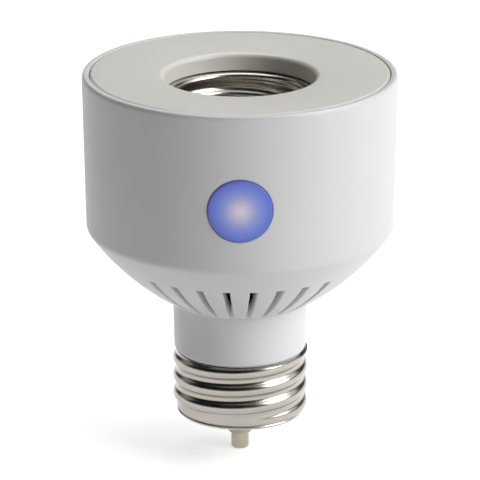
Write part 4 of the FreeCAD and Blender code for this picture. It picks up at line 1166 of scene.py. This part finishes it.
@dataclass
class Studio:
    """Floor, backdrop, lamps and camera.

    Attributes:
        distance, target: from the camera to the point it looks at, and that point's height, in millimetres.
        elevation, lens: the camera's height angle in degrees, and its focal length for a 36 mm sensor.
        floor_half: half the floor's width, in millimetres.
        floor_near, floor_far: distances in metres where the seen floor's own light is weakest and full,
            each with its strength.
        floor_fill: the floor's own light for rays that aren't seen.
        flag_reach: radius of the cloth's sphere, in millimetres.
        flag_heights: lower edge, upper edge and dipped upper edge of the cloth, as height angles.
        flag_dip: azimuths where the dip begins and ends, and the width of its slopes, in degrees.
        lamp_aim: point that the lamps face, in metres.
        lamps: name, place in metres, width and height in metres, and power in watts of each lamp.
    """

    distance: float = 650.0
    elevation: float = 18.861
    target: float = 43.02
    lens: float = 251.55
    floor_half: float = 3000.0
    floor_near: Pair = (0.2, 0.62)
    floor_far: Pair = (0.7, 1.0)
    floor_fill: float = 0.12
    flag_reach: float = 1400.0
    flag_heights: Triple = (5.0, 62.0, 15.0)
    flag_dip: Triple = (34.0, 112.0, 16.0)
    lamp_aim: Triple = (0.0, 0.0, 0.05)
    lamps: tuple[tuple[str, Triple, Pair, float], ...] = (
        ("key_right", (0.89, -0.36, 0.61), (0.7, 0.7), 10.1),
        ("top", (0.03, 0.4, 1.02), (0.8, 0.8), 6.4),
        ("edge_left", (-0.9, 0.45, 0.35), (0.4, 0.8), 0.4),
    )

    def build_camera(self) -> None:
        """Put the camera at the photograph's viewing angle."""
        data = bpy.data.cameras.new("camera")
        data.lens = self.lens
        data.sensor_width = 36.0
        data.clip_start, data.clip_end = 0.05, 20.0
        camera = add_object("camera", data)
        tilt = math.radians(self.elevation)
        back = Vector((0, -math.cos(tilt), math.sin(tilt)))
        camera.location = Vector((0, 0, self.target * MM)) + back * self.distance * MM
        camera.rotation_mode = "QUATERNION"
        camera.rotation_quaternion = (-back).to_track_quat("-Z", "Y")
        bpy.context.scene.camera = camera

    def add_lamp(self, name: str, place: Triple, size: Pair,
                 power: float) -> None:
        """Add a soft rectangular lamp with white light.

        Args:
            name: the lamp's name.
            place: where it stands, in metres.
            size: its width and height, in metres.
            power: its power in watts.
        """
        data = bpy.data.lights.new(name, "AREA")
        data.shape = "RECTANGLE"
        data.size, data.size_y = size
        data.energy = power
        lamp = add_object(name, data)
        lamp.location = place
        lamp.rotation_mode = "QUATERNION"
        lamp.rotation_quaternion = (Vector(self.lamp_aim) - Vector(place)).to_track_quat("-Z", "Y")

    def build_floor(self) -> None:
        """Make the pale floor, which shows white, the more so away from the object, and keeps a shadow."""
        material = cleared(bpy.data.materials.new("studio_floor"))
        paper = add_node(material, "BsdfDiffuse", {"Color": linear("e8e8e8")}).outputs[0]
        place = add_node(material, "TexCoord")
        away = add_node(material, "VectorMath", {0: place.outputs["Object"]}, operation="LENGTH")
        fade = add_node(material, "MapRange", {
            "Value": away.outputs["Value"], "From Min": self.floor_near[0], "From Max": self.floor_far[0],
            "To Min": self.floor_near[1], "To Max": self.floor_far[1]})
        plain, bright = (add_node(material, "AddShader", {0: paper, 1: emission(material, strength)})
                         for strength in (self.floor_fill, fade.outputs[0]))
        mixed = add_node(material, "MixShader", {
            0: seen_rays(material), 1: plain.outputs[0], 2: bright.outputs[0]})
        add_node(material, "OutputMaterial", {"Surface": mixed.outputs[0]})
        half = self.floor_half
        corners = np.array([[-half, -half, 0], [half, -half, 0], [half, half, 0], [-half, half, 0]])
        floor = put_mesh("floor", corners, np.array([[0, 1, 2, 3]]))
        cover_with(floor, material)

    def build_world(self) -> None:
        """Make the world: white behind the object, soft grey as light."""
        world = cleared(bpy.data.worlds.new("studio"))
        bpy.context.scene.world = world
        grey = add_node(world, "Background", {"Color": linear("c8c8c8"), "Strength": 0.08})
        white = add_node(world, "Background", {"Color": linear("ffffff"), "Strength": 1.0})
        mixed = add_node(world, "MixShader", {0: seen_rays(world), 1: grey.outputs[0], 2: white.outputs[0]})
        add_node(world, "OutputWorld", {"Surface": mixed.outputs[0]})

    def build_flag(self) -> None:
        """Make the dark cloth round the object, which draws the dark lines on bright metal.

        The cloth is a belt of a sphere round the object: azimuth and height angle are its two parameters,
        and its upper edge dips where the key lamp stands. The camera stands inside it, and sees white in
        its place.
        """
        columns, rows = 91, 15
        low, high, dipped = self.flag_heights
        begin, end, slope = self.flag_dip
        turn = np.linspace(-180.0, 180.0, columns)
        top = high - (high - dipped) * (smooth((turn - begin) / slope) - smooth((turn - end) / slope))
        azimuth = np.radians(turn)[:, None]
        rise = np.radians(low + (top[:, None] - low) * np.linspace(0.0, 1.0, rows)[None, :])
        points = self.flag_reach * points_from(
            np.cos(rise) * np.sin(azimuth), -np.cos(rise) * np.cos(azimuth), np.sin(rise))
        flag = put_mesh("flag", points, grid_quads(columns, rows, False, False))
        material = cleared(bpy.data.materials.new("studio_black_cloth"))
        path = add_node(material, "LightPath")
        cloth = add_node(material, "BsdfDiffuse", {"Color": linear("1c1c1c")})
        mixed = add_node(material, "MixShader", {
            0: path.outputs["Is Camera Ray"], 1: cloth.outputs[0], 2: emission(material, 1.0)})
        add_node(material, "OutputMaterial", {"Surface": mixed.outputs[0]})
        cover_with(flag, material)

    def build(self) -> None:
        """Make the whole studio."""
        self.build_camera()
        self.build_floor()
        self.build_flag()
        self.build_world()
        for lamp in self.lamps:
            self.add_lamp(*lamp)
        bpy.context.scene.view_settings.view_transform = "Standard"


def main() -> None:
    """Build the adapter's looks and the studio."""
    logging.basicConfig(level=logging.INFO, format="%(name)s: %(message)s")
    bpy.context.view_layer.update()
    nickel = NICKEL.build()
    brass = SPRING_BRASS.build()
    Housing().build()
    ScrewBase().build(nickel)
    LampSocket().build(nickel, brass)
    PushButton().build()
    Circuit().build()
    Studio().build()


if __name__ == "__main__":
    main()
